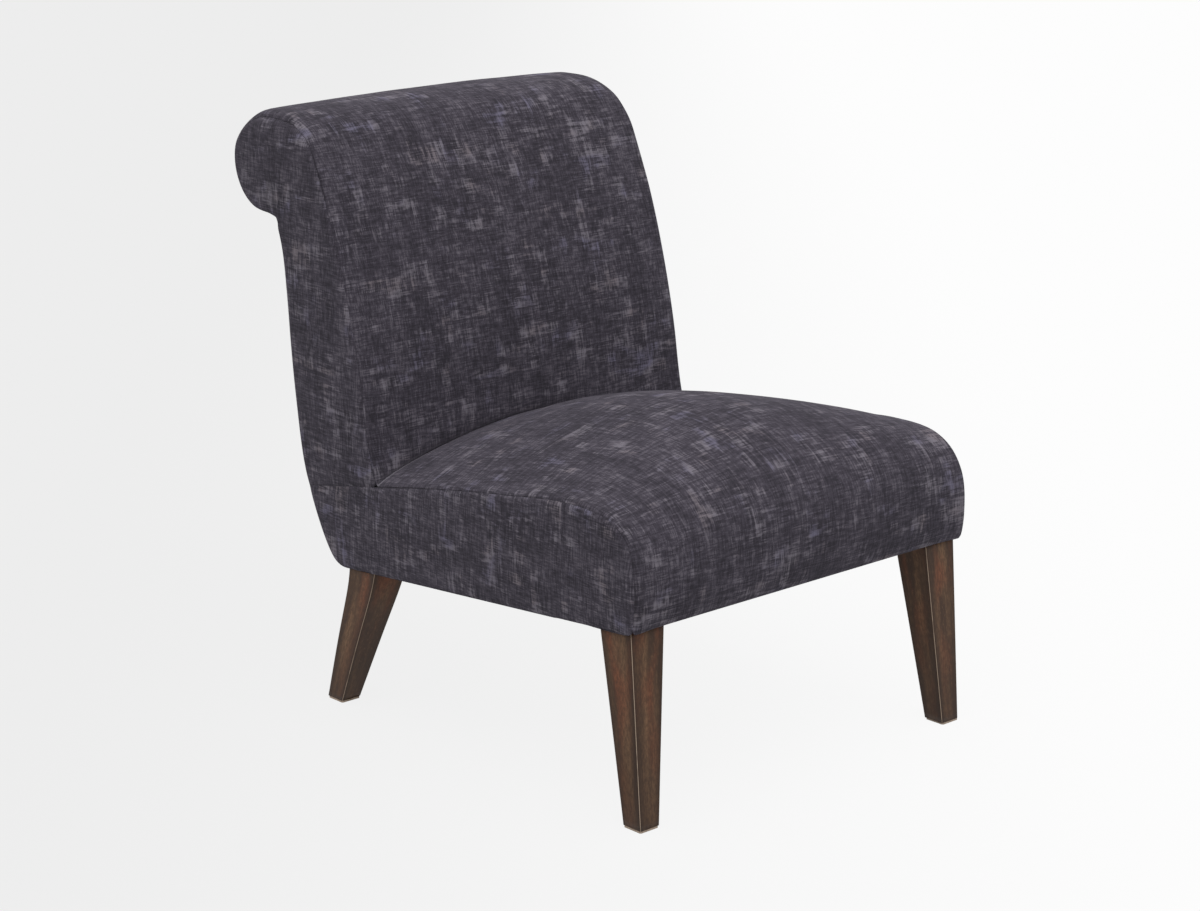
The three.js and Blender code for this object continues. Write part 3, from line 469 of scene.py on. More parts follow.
cover, goals, coverFaces, panels, seams, shares = buildCover()
print("cover drawn:", len(cover), "points")
limits = np.full(len(cover), covers["give"]["side"])
for name in ("seat", "back", "rear"):
    limits[panels[name]["ids"].ravel()] = covers["give"]["panel"]
pinned = sorted(set(int(i) for lines in seams.values() for line in lines for i in line))
blown = inflate(cover, coverFaces, {"seams": pinned, "full": panels["seat"]["ids"].ravel()})
settled = capMoves(goals, blown, limits)
print("cover settled")
coverNormals = pointNormals(settled, coverFaces)
outward = coverNormals[panels["seat"]["ids"][len(panels["seat"]["ids"]) // 2, len(shares) // 2]]
if outward[2] < 0:
    coverNormals = -coverNormals


def nearestOnLines(points, lines):
    # distance from each point to the nearest seam line, and the corner's own direction there
    first = np.concatenate([np.array(line[:-1]) for line in lines])
    second = np.concatenate([np.array(line[1:]) for line in lines])
    a, b = settled[first], settled[second]
    along = b - a
    gaps, directions, spots = [], [], []
    for chunk in np.array_split(points, max(1, len(points) // 1000)):
        share = np.einsum("psk,sk->ps", chunk[:, None] - a[None], along) / np.sum(along ** 2, 1)[None]
        share = np.clip(share, 0, 1)
        away = np.linalg.norm(chunk[:, None] - a[None] - along[None] * share[..., None], axis=2)
        best = np.argmin(away, 1)
        row = np.arange(len(chunk))
        s = share[row, best][:, None]
        gaps.append(away[row, best])
        directions.append(coverNormals[first[best]] * (1 - s) + coverNormals[second[best]] * s)
        spots.append(a[best] + along[best] * s)
    return np.concatenate(gaps), unit(np.concatenate(directions)), np.concatenate(spots)


def easeBetween(value, low, high):
    share = np.clip((value - low) / (high - low), 0, 1)
    return share * share * (3 - 2 * share)


# The styles that take over stretches of the side seams: their greatest share, and where it fades in
# from none to full, by depth (1) or height (2)
sideStyles = {
    # full, soft corners at the front of the seat
    "nose": (1.0, [(2, 0.362, 0.325), (1, 0.05, 0.03)]),
    # soft corners up the front of the back
    "soft": (0.85, [
        (2, creaseHeight + 0.03, creaseHeight + 0.08), (2, 0.70, 0.63),
        (1, scrollDepth - 0.02, scrollDepth - 0.05),
    ]),
    # a rounder edge on top of the roll's ends
    "cap": (1.0, [(2, scrollHeight + 0.008, scrollHeight + 0.064)]),
    # a crisp edge round the rear half of the roll's ends
    "rim": (1.0, [
        (1, scrollDepth, scrollDepth + 0.02), (2, scrollHeight + 0.055, scrollHeight + 0.004),
    ]),
}


def stylesAt(kind, spots):
    style = np.array(seamStyle["plain" if kind == "side" else kind])[:, None] + np.zeros(len(spots))
    for other, (most, fades) in sideStyles.items() if kind == "side" else ():
        share = most * np.prod([easeBetween(spots[:, axis], *fade) for axis, *fade in fades], 0)
        style = style * (1 - share) + np.array(seamStyle[other])[:, None] * share
    return style


def drawSeams():
    points = settled + coverNormals * sewing["loft"]
    dark, calm = np.zeros(len(points)), np.ones(len(points))
    for kind, lines in seams.items():
        gap, direction, spots = nearestOnLines(settled, lines)
        lift, radius, valley, reach, shadeDepth = stylesAt(kind, spots)
        roll = sewing["cornerPull"] * radius * np.clip(1 - gap / np.maximum(radius, 1e-6), 0, 1) ** 2
        near = np.exp(-(gap / reach) ** 2)
        full = lift * np.exp(-(gap / (sewing["liftReach"] + 2 * lift)) ** 2)
        points -= direction * (roll + valley * near - full)[:, None]
        # painted shade: the cloth's colour darkens on each seam line, for the shade in its fold
        dark = np.maximum(dark, near * shadeDepth)
        calm = np.minimum(calm, gap / sewing["calm"])

    wave = np.array([noise.noise(Vector(p) * sewing["waves"]) for p in settled])
    points += coverNormals * (sewing["unevenness"] * calm * wave)[:, None]
    return points, dark


sewn, seamPaintedShade = drawSeams()
print("seams drawn in")


def finishCover(piece):
    smooth = piece.modifiers.new("smooth", "SUBSURF")
    smooth.levels = smooth.render_levels = 1
    made = piece.evaluated_get(bpy.context.evaluated_depsgraph_get())
    mesh = bpy.data.meshes.new_from_object(made)
    piece.modifiers.clear()
    old = piece.data
    piece.data = mesh
    bpy.data.meshes.remove(old)
    mesh.name = piece.name
    mesh.shade_smooth()


def newPiece(name, mesh, material, slot, *nodes):
    piece = addObject(name, mesh)
    mesh.materials.append(material)
    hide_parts(*nodes)
    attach(piece, "root")
    return piece


def addValues(mesh, name, values, domain="POINT"):
    mesh.attributes.new(name, "FLOAT", domain).data.foreach_set("value", values)


def layUv(mesh, name, places):
    ids = [loop.vertex_index for loop in mesh.loops]
    mesh.uv_layers.new(name=name).data.foreach_set("uv", places[ids].ravel())


def creaseEdges(mesh, wanted):
    addValues(mesh, "crease_edge", [1.0 if wanted(*e.vertices) else 0.0 for e in mesh.edges], "EDGE")


def toPart(places):
    return places + np.array([0, hemFront, 0])


def gridNormals(places):
    return unit(np.cross(np.gradient(places, axis=1), np.gradient(places, axis=0)))


def gridShell(name, outer, inner):
    # an outer skin, an inner face and the edges between them
    rows, columns = outer.shape[:2]
    top, low = np.arange(2 * rows * columns).reshape(2, rows, columns)
    faces = np.concatenate([
        quadsOf(top[:-1, :-1], top[:-1, 1:], top[1:, 1:], top[1:, :-1]),
        quadsOf(low[:-1, :-1], low[1:, :-1], low[1:, 1:], low[:-1, 1:]),
        quadsOf(top[:-1, 0], top[1:, 0], low[1:, 0], low[:-1, 0]),
        quadsOf(top[:-1, -1], low[:-1, -1], low[1:, -1], top[1:, -1]),
        quadsOf(top[0, :-1], low[0, :-1], low[0, 1:], top[0, 1:]),
        quadsOf(top[-1, :-1], top[-1, 1:], low[-1, 1:], low[-1, :-1]),
    ])
    return meshFrom(name, np.concatenate([outer.reshape(-1, 3), inner.reshape(-1, 3)]), faces)


def paddedPanel(name, panel, thickness, sideInset, patternPlace):
    ids = panels[panel]["ids"]
    rows, columns = ids.shape
    outer = sewn[ids]
    normals = gridNormals(outer)
    normals *= np.sign(np.sum(normals * coverNormals[ids], axis=2))[..., None]
    depth = np.array([thickness(r / (rows - 1)) for r in range(rows)])[:, None, None]
    inner = outer - normals * depth
    narrowing = np.abs(shares)[None, :] ** sewing["insetPower"]
    inner[..., 0] *= 1 - sideInset / (chair["seatWidth"] / 2) * narrowing
    mesh = gridShell(name, toPart(outer), toPart(inner))
    marks = seamPaintedShade[ids]
    # painted highlight: the edges of the crease are painted lighter, as if they catch the light
    if panel == "seat":
        marks[-1] = -sewing["seatLit"]
    elif panel == "back":
        marks[0] = -sewing["backLit"]
    addValues(mesh, "seamPaintedLight", np.tile(marks.ravel(), 2))
    layUv(mesh, "clothPlace", np.tile(panels[panel]["uv"].reshape(-1, 2) + patternPlace, (2, 1)))
    rim = np.zeros(ids.shape, bool)
    rim[:, [0, -1]] = rim[-1] = True
    rim[0] |= panel != "seat"
    border = set(np.flatnonzero(rim))
    creaseEdges(mesh, lambda a, b: a in border and b in border and abs(a - b) in (1, columns))
    return mesh


def twoSkins(triangles, count):
    # faces of both skins of a sheet and of its rim, and the rim's edges on the first skin
    edges = dict.fromkeys((a, b) for t in triangles.tolist() for a, b in zip(t, t[1:] + t[:1]))
    rim = [(a, b) for a, b in edges if (b, a) not in edges]
    faces = [*triangles, *(triangles[:, ::-1] + count)]
    return faces + [(a, a + count, b + count, b) for a, b in rim], rim


def sidePanel(name, patternPlace, upright):
    # a skin of cloth over the side of the frame, with its edges turned in
    triangles, sign = panels[name]["triangles"], panels[name]["side"]
    used, local = np.unique(triangles, return_inverse=True)
    outer = sewn[used]
    inner = outer - np.array([sign * covers["clothThickness"], 0, 0])
    faces, rim = twoSkins(local.reshape(triangles.shape), len(used))
    mesh = meshFrom(name, toPart(np.concatenate([outer, inner])), faces)
    addValues(mesh, "seamPaintedLight", np.tile(seamPaintedShade[used], 2))
    flat = outer[:, :0:-1] if upright else outer[:, 1:]
    layUv(mesh, "clothPlace", np.tile(flat + patternPlace, (2, 1)))
    hem = set(int(i) for line in seams["hem"] for i in line)
    border = set(tuple(sorted(pair)) for pair in rim if not hem.issuperset(used[list(pair)]))
    creaseEdges(mesh, lambda a, b: tuple(sorted((a, b))) in border)
    return mesh


# Materials
def fill(tree, node, sockets):
    for key, value in sockets.items():
        if isinstance(value, bpy.types.NodeSocket):
            tree.links.new(value, node.inputs[key])
        else:
            node.inputs[key].default_value = value
    return node


def setNode(tree, kind, sockets=None, **settings):
    node = tree.nodes.new("ShaderNode" + kind)
    for key, value in settings.items():
        setattr(node, key, value)
    return fill(tree, node, sockets or {})


def maths(tree, operation, a, b=0.0, c=0.0, clamp=False):
    return setNode(tree, "Math", {0: a, 1: b, 2: c}, operation=operation, use_clamp=clamp).outputs[0]


def vectorMaths(tree, operation, *values):
    return setNode(tree, "VectorMath", dict(enumerate(values)), operation=operation).outputs[0]


def ramp(tree, value, low, high, newLow=0.0, newHigh=1.0, kind="SMOOTHSTEP"):
    sockets = {"Value": value, "From Min": low, "From Max": high, "To Min": newLow, "To Max": newHigh}
    return setNode(tree, "MapRange", sockets, interpolation_type=kind).outputs["Result"]


def mixColour(tree, share, a, b):
    return setNode(tree, "Mix", {"Factor": share, 6: a, 7: b}, data_type="RGBA").outputs[2]


def stretched(tree, place, scale, offset=(0, 0, 0), detail=2.0, roughness=0.5):
    mapped = setNode(tree, "Mapping", {"Vector": place, "Scale": scale, "Location": offset}).outputs[0]
    sockets = {"Vector": mapped, "Scale": 1.0, "Detail": detail, "Roughness": roughness}
    return setNode(tree, "TexNoise", sockets).outputs["Fac"]


def openGroup(name, given):
    # each socket's kind follows from its first value
    tree = bpy.data.node_groups.new(name, "ShaderNodeTree")
    for label, value in given.items():
        size = len(value) if isinstance(value, tuple) else 1
        kind = {1: "NodeSocketFloat", 3: "NodeSocketVector", 4: "NodeSocketColor"}[size]
        tree.interface.new_socket(label, in_out="INPUT", socket_type=kind).default_value = value
    return tree, tree.nodes.new("NodeGroupInput").outputs


def closeGroup(tree, results):
    for label in results:
        kind = "NodeSocketColor" if label == "Color" else "NodeSocketFloat"
        tree.interface.new_socket(label, in_out="OUTPUT", socket_type=kind)
    fill(tree, tree.nodes.new("NodeGroupOutput"), results)
    return tree


# first values of the sockets that every material fills
grey, nowhere = (0.3, 0.3, 0.3, 1), (0.0, 0.0, 0.0)


def banded(tree, place, along, height, seed, upright):
    # noise that runs along each thread or band of threads by itself, so that its edges are straight
    smooth, apart = 0.002, 7.31  # step along a thread, and from one thread's noise to the next
    lengths, steps, strides = (along, 1 / height, 0), (smooth, 1, 1), (1, apart, 1)
    if upright:
        lengths, steps, strides = (1 / height, along, 0), (1, smooth, 1), (apart, 1, 1)
    rows = vectorMaths(tree, "SNAP", vectorMaths(tree, "MULTIPLY", place, lengths), steps)
    moved = vectorMaths(tree, "MULTIPLY_ADD", rows, strides, (seed, seed * 3, 0))
    sockets = {"Vector": moved, "Scale": 1.0, "Detail": 1.0}
    return setNode(tree, "TexNoise", sockets, noise_dimensions="2D").outputs["Fac"]


def slubWeaveGroup():
    tree, given = openGroup("slubWeave", {
        "Place": nowhere, "Ground": grey, "Deep": grey, "Pale": grey, "Cool": grey, "Warm": grey,
        "Slub Amount": 1.0, "Hatch Amount": 1.0,
    })
    place = given["Place"]
    # changes in a metre of weft and of warp, height of a band, share in the pattern
    bands = ((50, 70, 0.0015, 0.18), (16, 24, 0.0045, 0.29), (11, 18, 0.0140, 0.53))
    levels, threads, yarns = [], [], []
    for upright in (False, True):
        noises = [banded(tree, place, band[upright], band[2], 3 + 5 * k + 17 * upright, upright)
                  for k, band in enumerate(bands)]
        total = 0.0
        for value, (*_, share) in zip(noises, bands):
            total = maths(tree, "MULTIPLY_ADD", value, share, total)
        levels.append(total)
        threads.append(ramp(tree, noises[0], 0.25, 0.75, -0.9, 0.9))
        yarns.append(ramp(tree, noises[1], 0.3, 0.7, -0.3, 0.3))
    # a pale block where pale warp crosses pale weft, and a fainter slub along either
    crossing = ramp(tree, maths(tree, "ADD", *levels), 1.04, 1.28)
    strokes = ramp(tree, maths(tree, "MAXIMUM", *levels), 0.59, 0.74, 0, 0.6)
    slub = maths(tree, "MAXIMUM", crossing, strokes)
    slub = maths(tree, "MULTIPLY", slub, given["Slub Amount"], clamp=True)
    hatch = maths(tree, "ADD", *threads)
    fuzz = ramp(tree, stretched(tree, place, (900, 900, 1), (4, 8, 0), 1.0), 0.3, 0.7, -0.7, 0.7)
    cloud = ramp(tree, stretched(tree, place, (34, 6, 1), (2, 17, 0)), 0.35, 0.65, -0.5, 0.5)
    threadwork = maths(tree, "ADD", hatch, maths(tree, "ADD", *yarns))
    cloth = maths(tree, "ADD", threadwork, maths(tree, "ADD", fuzz, cloud))
    cloth = maths(tree, "MULTIPLY", cloth, given["Hatch Amount"])
    hue = stretched(tree, place, (19, 19, 1), (21, 8, 0), 1.0)

    dark = mixColour(tree, ramp(tree, cloth, -2.2, 0.6), given["Deep"], given["Ground"])
    lifted = mixColour(tree, ramp(tree, cloth, 0.1, 2.8, 0, 0.5), dark, given["Pale"])
    tinted = mixColour(tree, ramp(tree, hue, 0.52, 0.64, 0, 0.6), given["Pale"], given["Cool"])
    tinted = mixColour(tree, ramp(tree, hue, 0.45, 0.34, 0, 0.5), tinted, given["Warm"])
    tinted = mixColour(tree, ramp(tree, cloth, 0.8, -1.6, 0, 0.65), tinted, given["Deep"])
    height = maths(tree, "MULTIPLY_ADD", hatch, 0.3, maths(tree, "MULTIPLY", slub, 0.4))
    return closeGroup(tree, {"Color": mixColour(tree, slub, lifted, tinted), "Height": height})


def seamShadeGroup():
    # painted shade in the fold of a seam, where Near is above 0, and a painted highlight on a lit edge
    # of cloth, where it is below
    tree, given = openGroup("seamShade", {"Color": grey, "Near": 0.0, "Depth": 0.5, "Lit": grey})
    share = maths(tree, "MULTIPLY", ramp(tree, given["Near"], 0.35, 1.0), given["Depth"])
    shaded = mixColour(tree, share, given["Color"], (0.006, 0.005, 0.008, 1))
    edge = ramp(tree, given["Near"], -0.3, -1.0, 0, 0.8)
    return closeGroup(tree, {"Color": mixColour(tree, edge, shaded, given["Lit"])})


def woodGrainGroup():
    colours = {"Light": grey, "Dark": grey, "Red": grey}
    tree, given = openGroup("woodGrain", {"Place": nowhere, **colours, "Figure": 1.0})
    broad, pores, blush, speck = [stretched(tree, given["Place"], *sizes) for sizes in (
        ((60, 7, 60), (0, 0, 0), 3.0, 0.55), ((900, 26, 900), (4, 2, 1), 2.0, 0.6),
        ((34, 9, 34), (8, 5, 2), 1.5, 0.5), ((330, 120, 330), (9, 3, 5), 3.0, 0.7),
    )]
    base = mixColour(tree, ramp(tree, broad, 0.34, 0.66), given["Dark"], given["Light"])
    redShare = maths(tree, "MULTIPLY", ramp(tree, blush, 0.46, 0.68), given["Figure"])
    warm = mixColour(tree, redShare, base, given["Red"])
    mottled = mixColour(tree, ramp(tree, speck, 0.60, 0.38, 0, 0.6), warm, given["Dark"])
    mottled = mixColour(tree, ramp(tree, speck, 0.54, 0.70, 0, 0.5), mottled, given["Light"])
    return closeGroup(tree, {
        "Color": mixColour(tree, ramp(tree, pores, 0.54, 0.72, 0, 0.5), mottled, given["Dark"]),
        "Height": maths(tree, "SUBTRACT", broad, maths(tree, "MULTIPLY", pores, 0.5)),
    })


def edgeShadeAndWearGroup():
    # painted shade darkens each face toward its edges, the wood is darker toward the foot, and the
    # arris itself is rubbed pale
    places = {"Place": nowhere, "Across": 0.0, "Arris": 0.0, "Along": 1.0}
    tree, given = openGroup("edgeShadeAndWear", {"Color": grey, **places, "Dark Tone": grey, "Bare": grey})
    broken = stretched(tree, given["Place"], (300, 40, 300), (1, 6, 3), 2.0, 0.5)
    # painted shade: each face darker toward its edges
    faceEdgeShade = ramp(tree, given["Across"], 0.3, 1.05, 0, 0.8)
    shade = mixColour(tree, faceEdgeShade, given["Color"], given["Dark Tone"])
    # darker toward the foot
    footward = ramp(tree, given["Along"], 0.6, 0.0, 0, 0.45)
    shade = mixColour(tree, footward, shade, given["Dark Tone"])
    onArris = ramp(tree, given["Arris"], 0.1, 0.6)
    rubbed = maths(tree, "MULTIPLY", onArris, ramp(tree, broken, 0.30, 0.48, 0.55, 1))
    return closeGroup(tree, {"Color": mixColour(tree, rubbed, shade, given["Bare"]), "Rubbed": rubbed})


def mottleGroup():
    # cloudy change of colour and roughness for plain metal, foam, board and cloth
    places = {"Place": nowhere, "Size": (60.0, 60.0, 60.0)}
    rough = {"Rough Low": 0.3, "Rough High": 0.6}
    tree, given = openGroup("mottle", {**places, "Light": grey, "Dark": grey, **rough})
    scaled = vectorMaths(tree, "MULTIPLY", given["Place"], given["Size"])
    sockets = {"Vector": scaled, "Scale": 1.0, "Detail": 4.0}
    cloud = setNode(tree, "TexNoise", sockets).outputs["Fac"]
    return closeGroup(tree, {
        "Color": mixColour(tree, ramp(tree, cloud, 0.3, 0.7), given["Dark"], given["Light"]),
        "Roughness": ramp(tree, cloud, 0.3, 0.7, given["Rough Low"], given["Rough High"], "LINEAR"),
        "Height": cloud,
    })


slubWeave, seamShade, woodGrain = slubWeaveGroup(), seamShadeGroup(), woodGrainGroup()
edgeShadeAndWear, mottle = edgeShadeAndWearGroup(), mottleGroup()


def newMaterial(name):
    material = bpy.data.materials.new(name)
    material.use_nodes = True
    tree = material.node_tree
    return material, tree, tree.nodes["Principled BSDF"]


def useGroup(tree, group, sockets):
    return setNode(tree, "Group", sockets, node_tree=group).outputs


def bumpOf(tree, height, strength, distance):
    sockets = {"Height": height, "Strength": strength, "Distance": distance}
    return setNode(tree, "Bump", sockets).outputs["Normal"]


def srgb(r, g, b):
    shares = [v / 255 for v in (r, g, b)]
    return tuple(v / 12.92 if v <= 0.04 else ((v + 0.055) / 1.055) ** 2.4 for v in shares) + (1,)


fabric = {
    "weave": {
        "Ground": srgb(78, 73, 83), "Deep": srgb(53, 50, 57), "Pale": srgb(145, 139, 149),
        "Cool": srgb(118, 115, 146), "Warm": srgb(147, 134, 136),
        "Slub Amount": 0.75, "Hatch Amount": 1.0,
    },
    # painted shade in the seams, and the colour of a painted highlight on the crease's edges
    "seam": {"Depth": 0.8, "Lit": srgb(172, 167, 177)},
    "shader": {
        "Roughness": 0.95, "Specular IOR Level": 0.2,
        "Sheen Weight": 0.1, "Sheen Roughness": 0.6, "Sheen Tint": srgb(190, 185, 200),
    },
    "bump": (0.35, 0.0006),  # strength and height
}


def fabricMaterial():
    material, tree, shader = newMaterial("slubFabric")
    place = setNode(tree, "UVMap", uv_map="clothPlace").outputs["UV"]
    weave = useGroup(tree, slubWeave, {"Place": place, **fabric["weave"]})
    near = setNode(tree, "Attribute", attribute_name="seamPaintedLight").outputs["Fac"]
    shaded = useGroup(tree, seamShade, {"Color": weave["Color"], "Near": near, **fabric["seam"]})
    normal = bumpOf(tree, weave["Height"], *fabric["bump"])
    fill(tree, shader, {"Base Color": shaded["Color"], "Normal": normal, **fabric["shader"]})
    return material


walnut = {
    "grain": {"Light": srgb(136, 105, 80), "Dark": srgb(80, 60, 48), "Red": srgb(142, 88, 64)},
    "figure": (0.45, 1.0),  # share of red at the foot and at the top
    "figureFrom": 0.4,  # share of the leg's height
    # the darker colour is painted shade toward the edges of each face and also darkens the leg toward
    # its foot; the pale one is the rubbed arris
    "shadeAndWear": {"Dark Tone": srgb(60, 45, 37), "Bare": srgb(200, 178, 158)},
    "roughness": (0.5, 0.7),  # of the stained wood and where it is rubbed
    "specular": 0.2,
    "bump": (0.15, 0.0004),
}


def walnutMaterial():
    material, tree, shader = newMaterial("walnut")
    place = setNode(tree, "UVMap", uv_map="grainPlace").outputs["UV"]
    marks = {
        label: setNode(tree, "Attribute", attribute_name=label.lower()).outputs["Fac"]
        for label in ("Across", "Arris", "Along")
    }
    figure = ramp(tree, marks["Along"], walnut["figureFrom"], 1.0, *walnut["figure"])
    grain = useGroup(tree, woodGrain, {"Place": place, "Figure": figure, **walnut["grain"]})
    shadeAndWear = {"Color": grain["Color"], "Place": place, **marks, **walnut["shadeAndWear"]}
    shadedAndWorn = useGroup(tree, edgeShadeAndWear, shadeAndWear)
    fill(tree, shader, {
        "Base Color": shadedAndWorn["Color"],
        "Roughness": ramp(tree, shadedAndWorn["Rubbed"], 0, 1, *walnut["roughness"]),
        "Specular IOR Level": walnut["specular"],
        "Normal": bumpOf(tree, grain["Height"], *walnut["bump"]),
    })
    return material


# colour, darker colour and turn of the grain
rawWoods = {
    "plywood": (srgb(208, 178, 134), srgb(170, 136, 94), 0),
    "crossPlywood": (srgb(208, 178, 134), srgb(170, 136, 94), math.pi / 2),
    "beech": (srgb(196, 156, 108), srgb(158, 118, 76), math.pi / 4),
}
rawWood = {"figure": 0.3, "roughness": 0.75, "bump": (0.2, 0.0004)}
# two colours, size of the mottle, roughness from and to, metal or not and the bump
plainFinishes = {
    "tubeBoard": (srgb(180, 146, 100), srgb(150, 118, 78), (20, 90, 90), (0.8, 0.95), 0.0, 0.3),
    "springSteel": (srgb(118, 120, 124), srgb(78, 80, 84), (90, 90, 90), (0.28, 0.5), 1.0, 0.1),
    "zincSteel": (srgb(178, 182, 186), srgb(140, 144, 148), (140, 140, 140), (0.25, 0.45), 1.0, 0.1),
    "paleGlide": (srgb(206, 186, 168), srgb(172, 152, 134), (160, 160, 60), (0.55, 0.75), 0.0, 0.1),
    "blackCloth": (srgb(44, 44, 47), srgb(26, 26, 29), (700, 700, 700), (0.85, 0.98), 0.0, 0.5),
    "elasticStrap": (srgb(70, 70, 78), srgb(40, 40, 46), (900, 60, 900), (0.8, 0.95), 0.0, 0.5),
}
plainBump = 0.0005


def rawWoodMaterial(name, light, dark, turn):
    material, tree, shader = newMaterial(name)
    spot = setNode(tree, "TexCoord").outputs["Object"]
    turned = setNode(tree, "Mapping", {"Vector": spot, "Rotation": (0, 0, turn)}).outputs[0]
    colours = {"Light": light, "Dark": dark, "Red": light, "Figure": rawWood["figure"]}
    grain = useGroup(tree, woodGrain, {"Place": turned, **colours})
    fill(tree, shader, {
        "Base Color": grain["Color"], "Roughness": rawWood["roughness"],
        "Normal": bumpOf(tree, grain["Height"], *rawWood["bump"]),
    })
    return material


def mottledMaterial(name, light, dark, size, rough, metallic, bump):
    material, tree, shader = newMaterial(name)
    spot = setNode(tree, "TexCoord").outputs["Object"]
    cloud = useGroup(tree, mottle, {
        "Place": spot, "Light": light, "Dark": dark, "Size": size,
        "Rough Low": rough[0], "Rough High": rough[1],
    })
    fill(tree, shader, {
        "Base Color": cloud["Color"], "Roughness": cloud["Roughness"], "Metallic": metallic,
        "Normal": bumpOf(tree, cloud["Height"], bump, plainBump),
    })
    return material


slubFabric, legWalnut = fabricMaterial(), walnutMaterial()
finishes = {name: rawWoodMaterial(name, *values) for name, values in rawWoods.items()}
finishes |= {name: mottledMaterial(name, *values) for name, values in plainFinishes.items()}
print("materials made")

# Covers
padding = {
    "apron": 0.0055,
    "seat": 0.020,
    "apronEnd": 0.16,  # share of the seat panel's length
    "seatStart": 0.28,
    "back": 0.018,
    "inset": 0.006,
}


def seatPaddingAt(t):
    share = (t - padding["apronEnd"]) / (padding["seatStart"] - padding["apronEnd"])
    return padding["apron"] + (padding["seat"] - padding["apron"]) * min(1, max(0, share))


def newCover(name, mesh, *nodes):
    return newPiece(name, mesh, slubFabric, "slub_fabric", *nodes)


# the last pair of each cover is its place in the pattern of the cloth
seatMesh = paddedPanel("seatCover", "seat", seatPaddingAt, padding["inset"], (1.3, 0.2))
backMesh = paddedPanel("backCover", "back", lambda t: padding["back"], padding["inset"], (4.1, 2.7))
rearMesh = paddedPanel("outsideBack", "rear", lambda t: covers["clothThickness"], 0.0, (7.9, 1.1))
seatCover = newCover("seatCover", seatMesh, "seat_cover", "seat_foam")
backCover = newCover("backCover", backMesh, "inside_back_cover", "back_foam", "roll_foam")
outsideBack = newCover("outsideBack", rearMesh, "outside_back_cover")
sidePieces = []
for name, node, where, upright in (
    ("seatSideLeft", "seat_side_cover_left", (9.3, 4.2), True),
    ("seatSideRight", "seat_side_cover_right", (12.4, 5.8), True),
    ("backSideLeft", "back_side_cover_left", (24.6, 3.1), False),
    ("backSideRight", "back_side_cover_right", (17.2, 8.9), False),
):
    sidePieces.append(newCover(name, sidePanel(name, where, upright), node))
for piece in (seatCover, backCover, outsideBack, *sidePieces):
    finishCover(piece)


turnIn = 1.08  # size of the cut cloth over that of the stretched cloth
leastArea = 0.31  # of the cloth's flat rectangle


def declareSheet(piece):
    spans = sorted(piece.dimensions, reverse=True)
    flat = (round(spans[1] * turnIn, 3), round(spans[0] * turnIn, 3))
    area = min(sum(p.area for p in piece.data.polygons) / 2, flat[0] * flat[1])
    area = max(area, leastArea * flat[0] * flat[1])
    print(piece.name, "flat", flat, "area", round(area, 3))


bpy.context.view_layer.update()
declareSheet(outsideBack)
for piece in sidePieces:
    declareSheet(piece)
print("covers made")

# Legs
leg = {
    "top": 0.0547,
    "foot": 0.0313,
    "inset": 0.003,
    "bevel": 0.0016,
    "gap": 0.0003,
    "steps": 30,
    "sabrePower": 5,
    "front": {"end": 0.007, "splay": 0.0182, "sabre": 0.0},
    "rear": {"end": 0.5668, "splay": 0.054, "sabre": 0.003},
    "columns": (-1, -0.93, -0.7, -0.35, 0, 0.35, 0.7, 0.93, 1),
    "frameRise": 0.003,
    "faceGap": 0.1,  # between the faces, in the place of the grain
    "grain": {"front": 0.0, "rear": 2.0, "right": 0.7},
}


def legSection(half):
    # points round the leg with their place across the face and on the arris
    flat = half - leg["bevel"]
    points = []
    for turn in range(4):
        spin = Matrix.Rotation(turn * math.pi / 2, 2)
        for share in leg["columns"]:
            points.append((spin @ Vector((half, share * flat)), abs(share), 0.0, share * flat))
        for step in (1, 2, 3):
            angle = step * math.pi / 8
            corner = Vector((math.cos(angle), math.sin(angle))) * leg["bevel"] + Vector((flat, flat))
            points.append((spin @ corner, 1.0, 1.0 if step == 2 else 0.0, flat))
    return points


def sabreAt(share):
    peak = leg["sabrePower"] / (leg["sabrePower"] + 1)
    return (share / peak) ** leg["sabrePower"] * (1 - share) / (1 - peak)


def legMesh(name, side, end):
    sizes = leg[end]
    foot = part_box("glide_front_left")[1].z + leg["gap"]
    inward = 1 if end == "front" else -1
    outer = side * (halfWidthAt(sizes["end"] + inward * leg["top"] / 2) - leg["inset"])
    vertices, marks, uv = [], [], []
    ring = len(legSection(leg["foot"]))
    for i in range(leg["steps"] + 1):
        s = i / leg["steps"]
        width = leg["foot"] + (leg["top"] - leg["foot"]) * s
        x = outer - side * width / 2
        y = sizes["end"] + inward * (width / 2 - sizes["splay"] * (1 - s) + sizes["sabre"] * sabreAt(s))
        for (place, edge, mark, shift) in legSection(width / 2):
            px, py = x + place.x, y + place.y
            top = hemHeightAt(py) + leg["frameRise"] - leg["gap"]
            pz = foot + (top - foot) * s
            vertices.append((px, py, pz))
            marks.append((edge, mark, s))
            uv.append((shift + leg["faceGap"] * (len(uv) % ring * 4 // ring), pz))
    ids = np.arange(len(vertices)).reshape(-1, ring)
    turned = np.roll(ids, -1, 1)
    faces = [*quadsOf(ids[:-1], turned[:-1], turned[1:], ids[1:]), ids[0, ::-1], ids[-1]]
    mesh = meshFrom(name, toPart(np.array(vertices)), faces)
    for label, values in zip(("across", "arris", "along"), zip(*marks)):
        addValues(mesh, label, values)
    seed = leg["grain"][end] + (leg["grain"]["right"] if side > 0 else 0)
    layUv(mesh, "grainPlace", np.array(uv) + (seed, seed * 3))
    for polygon in mesh.polygons:
        polygon.use_smooth = len(polygon.vertices) == 4
    return mesh


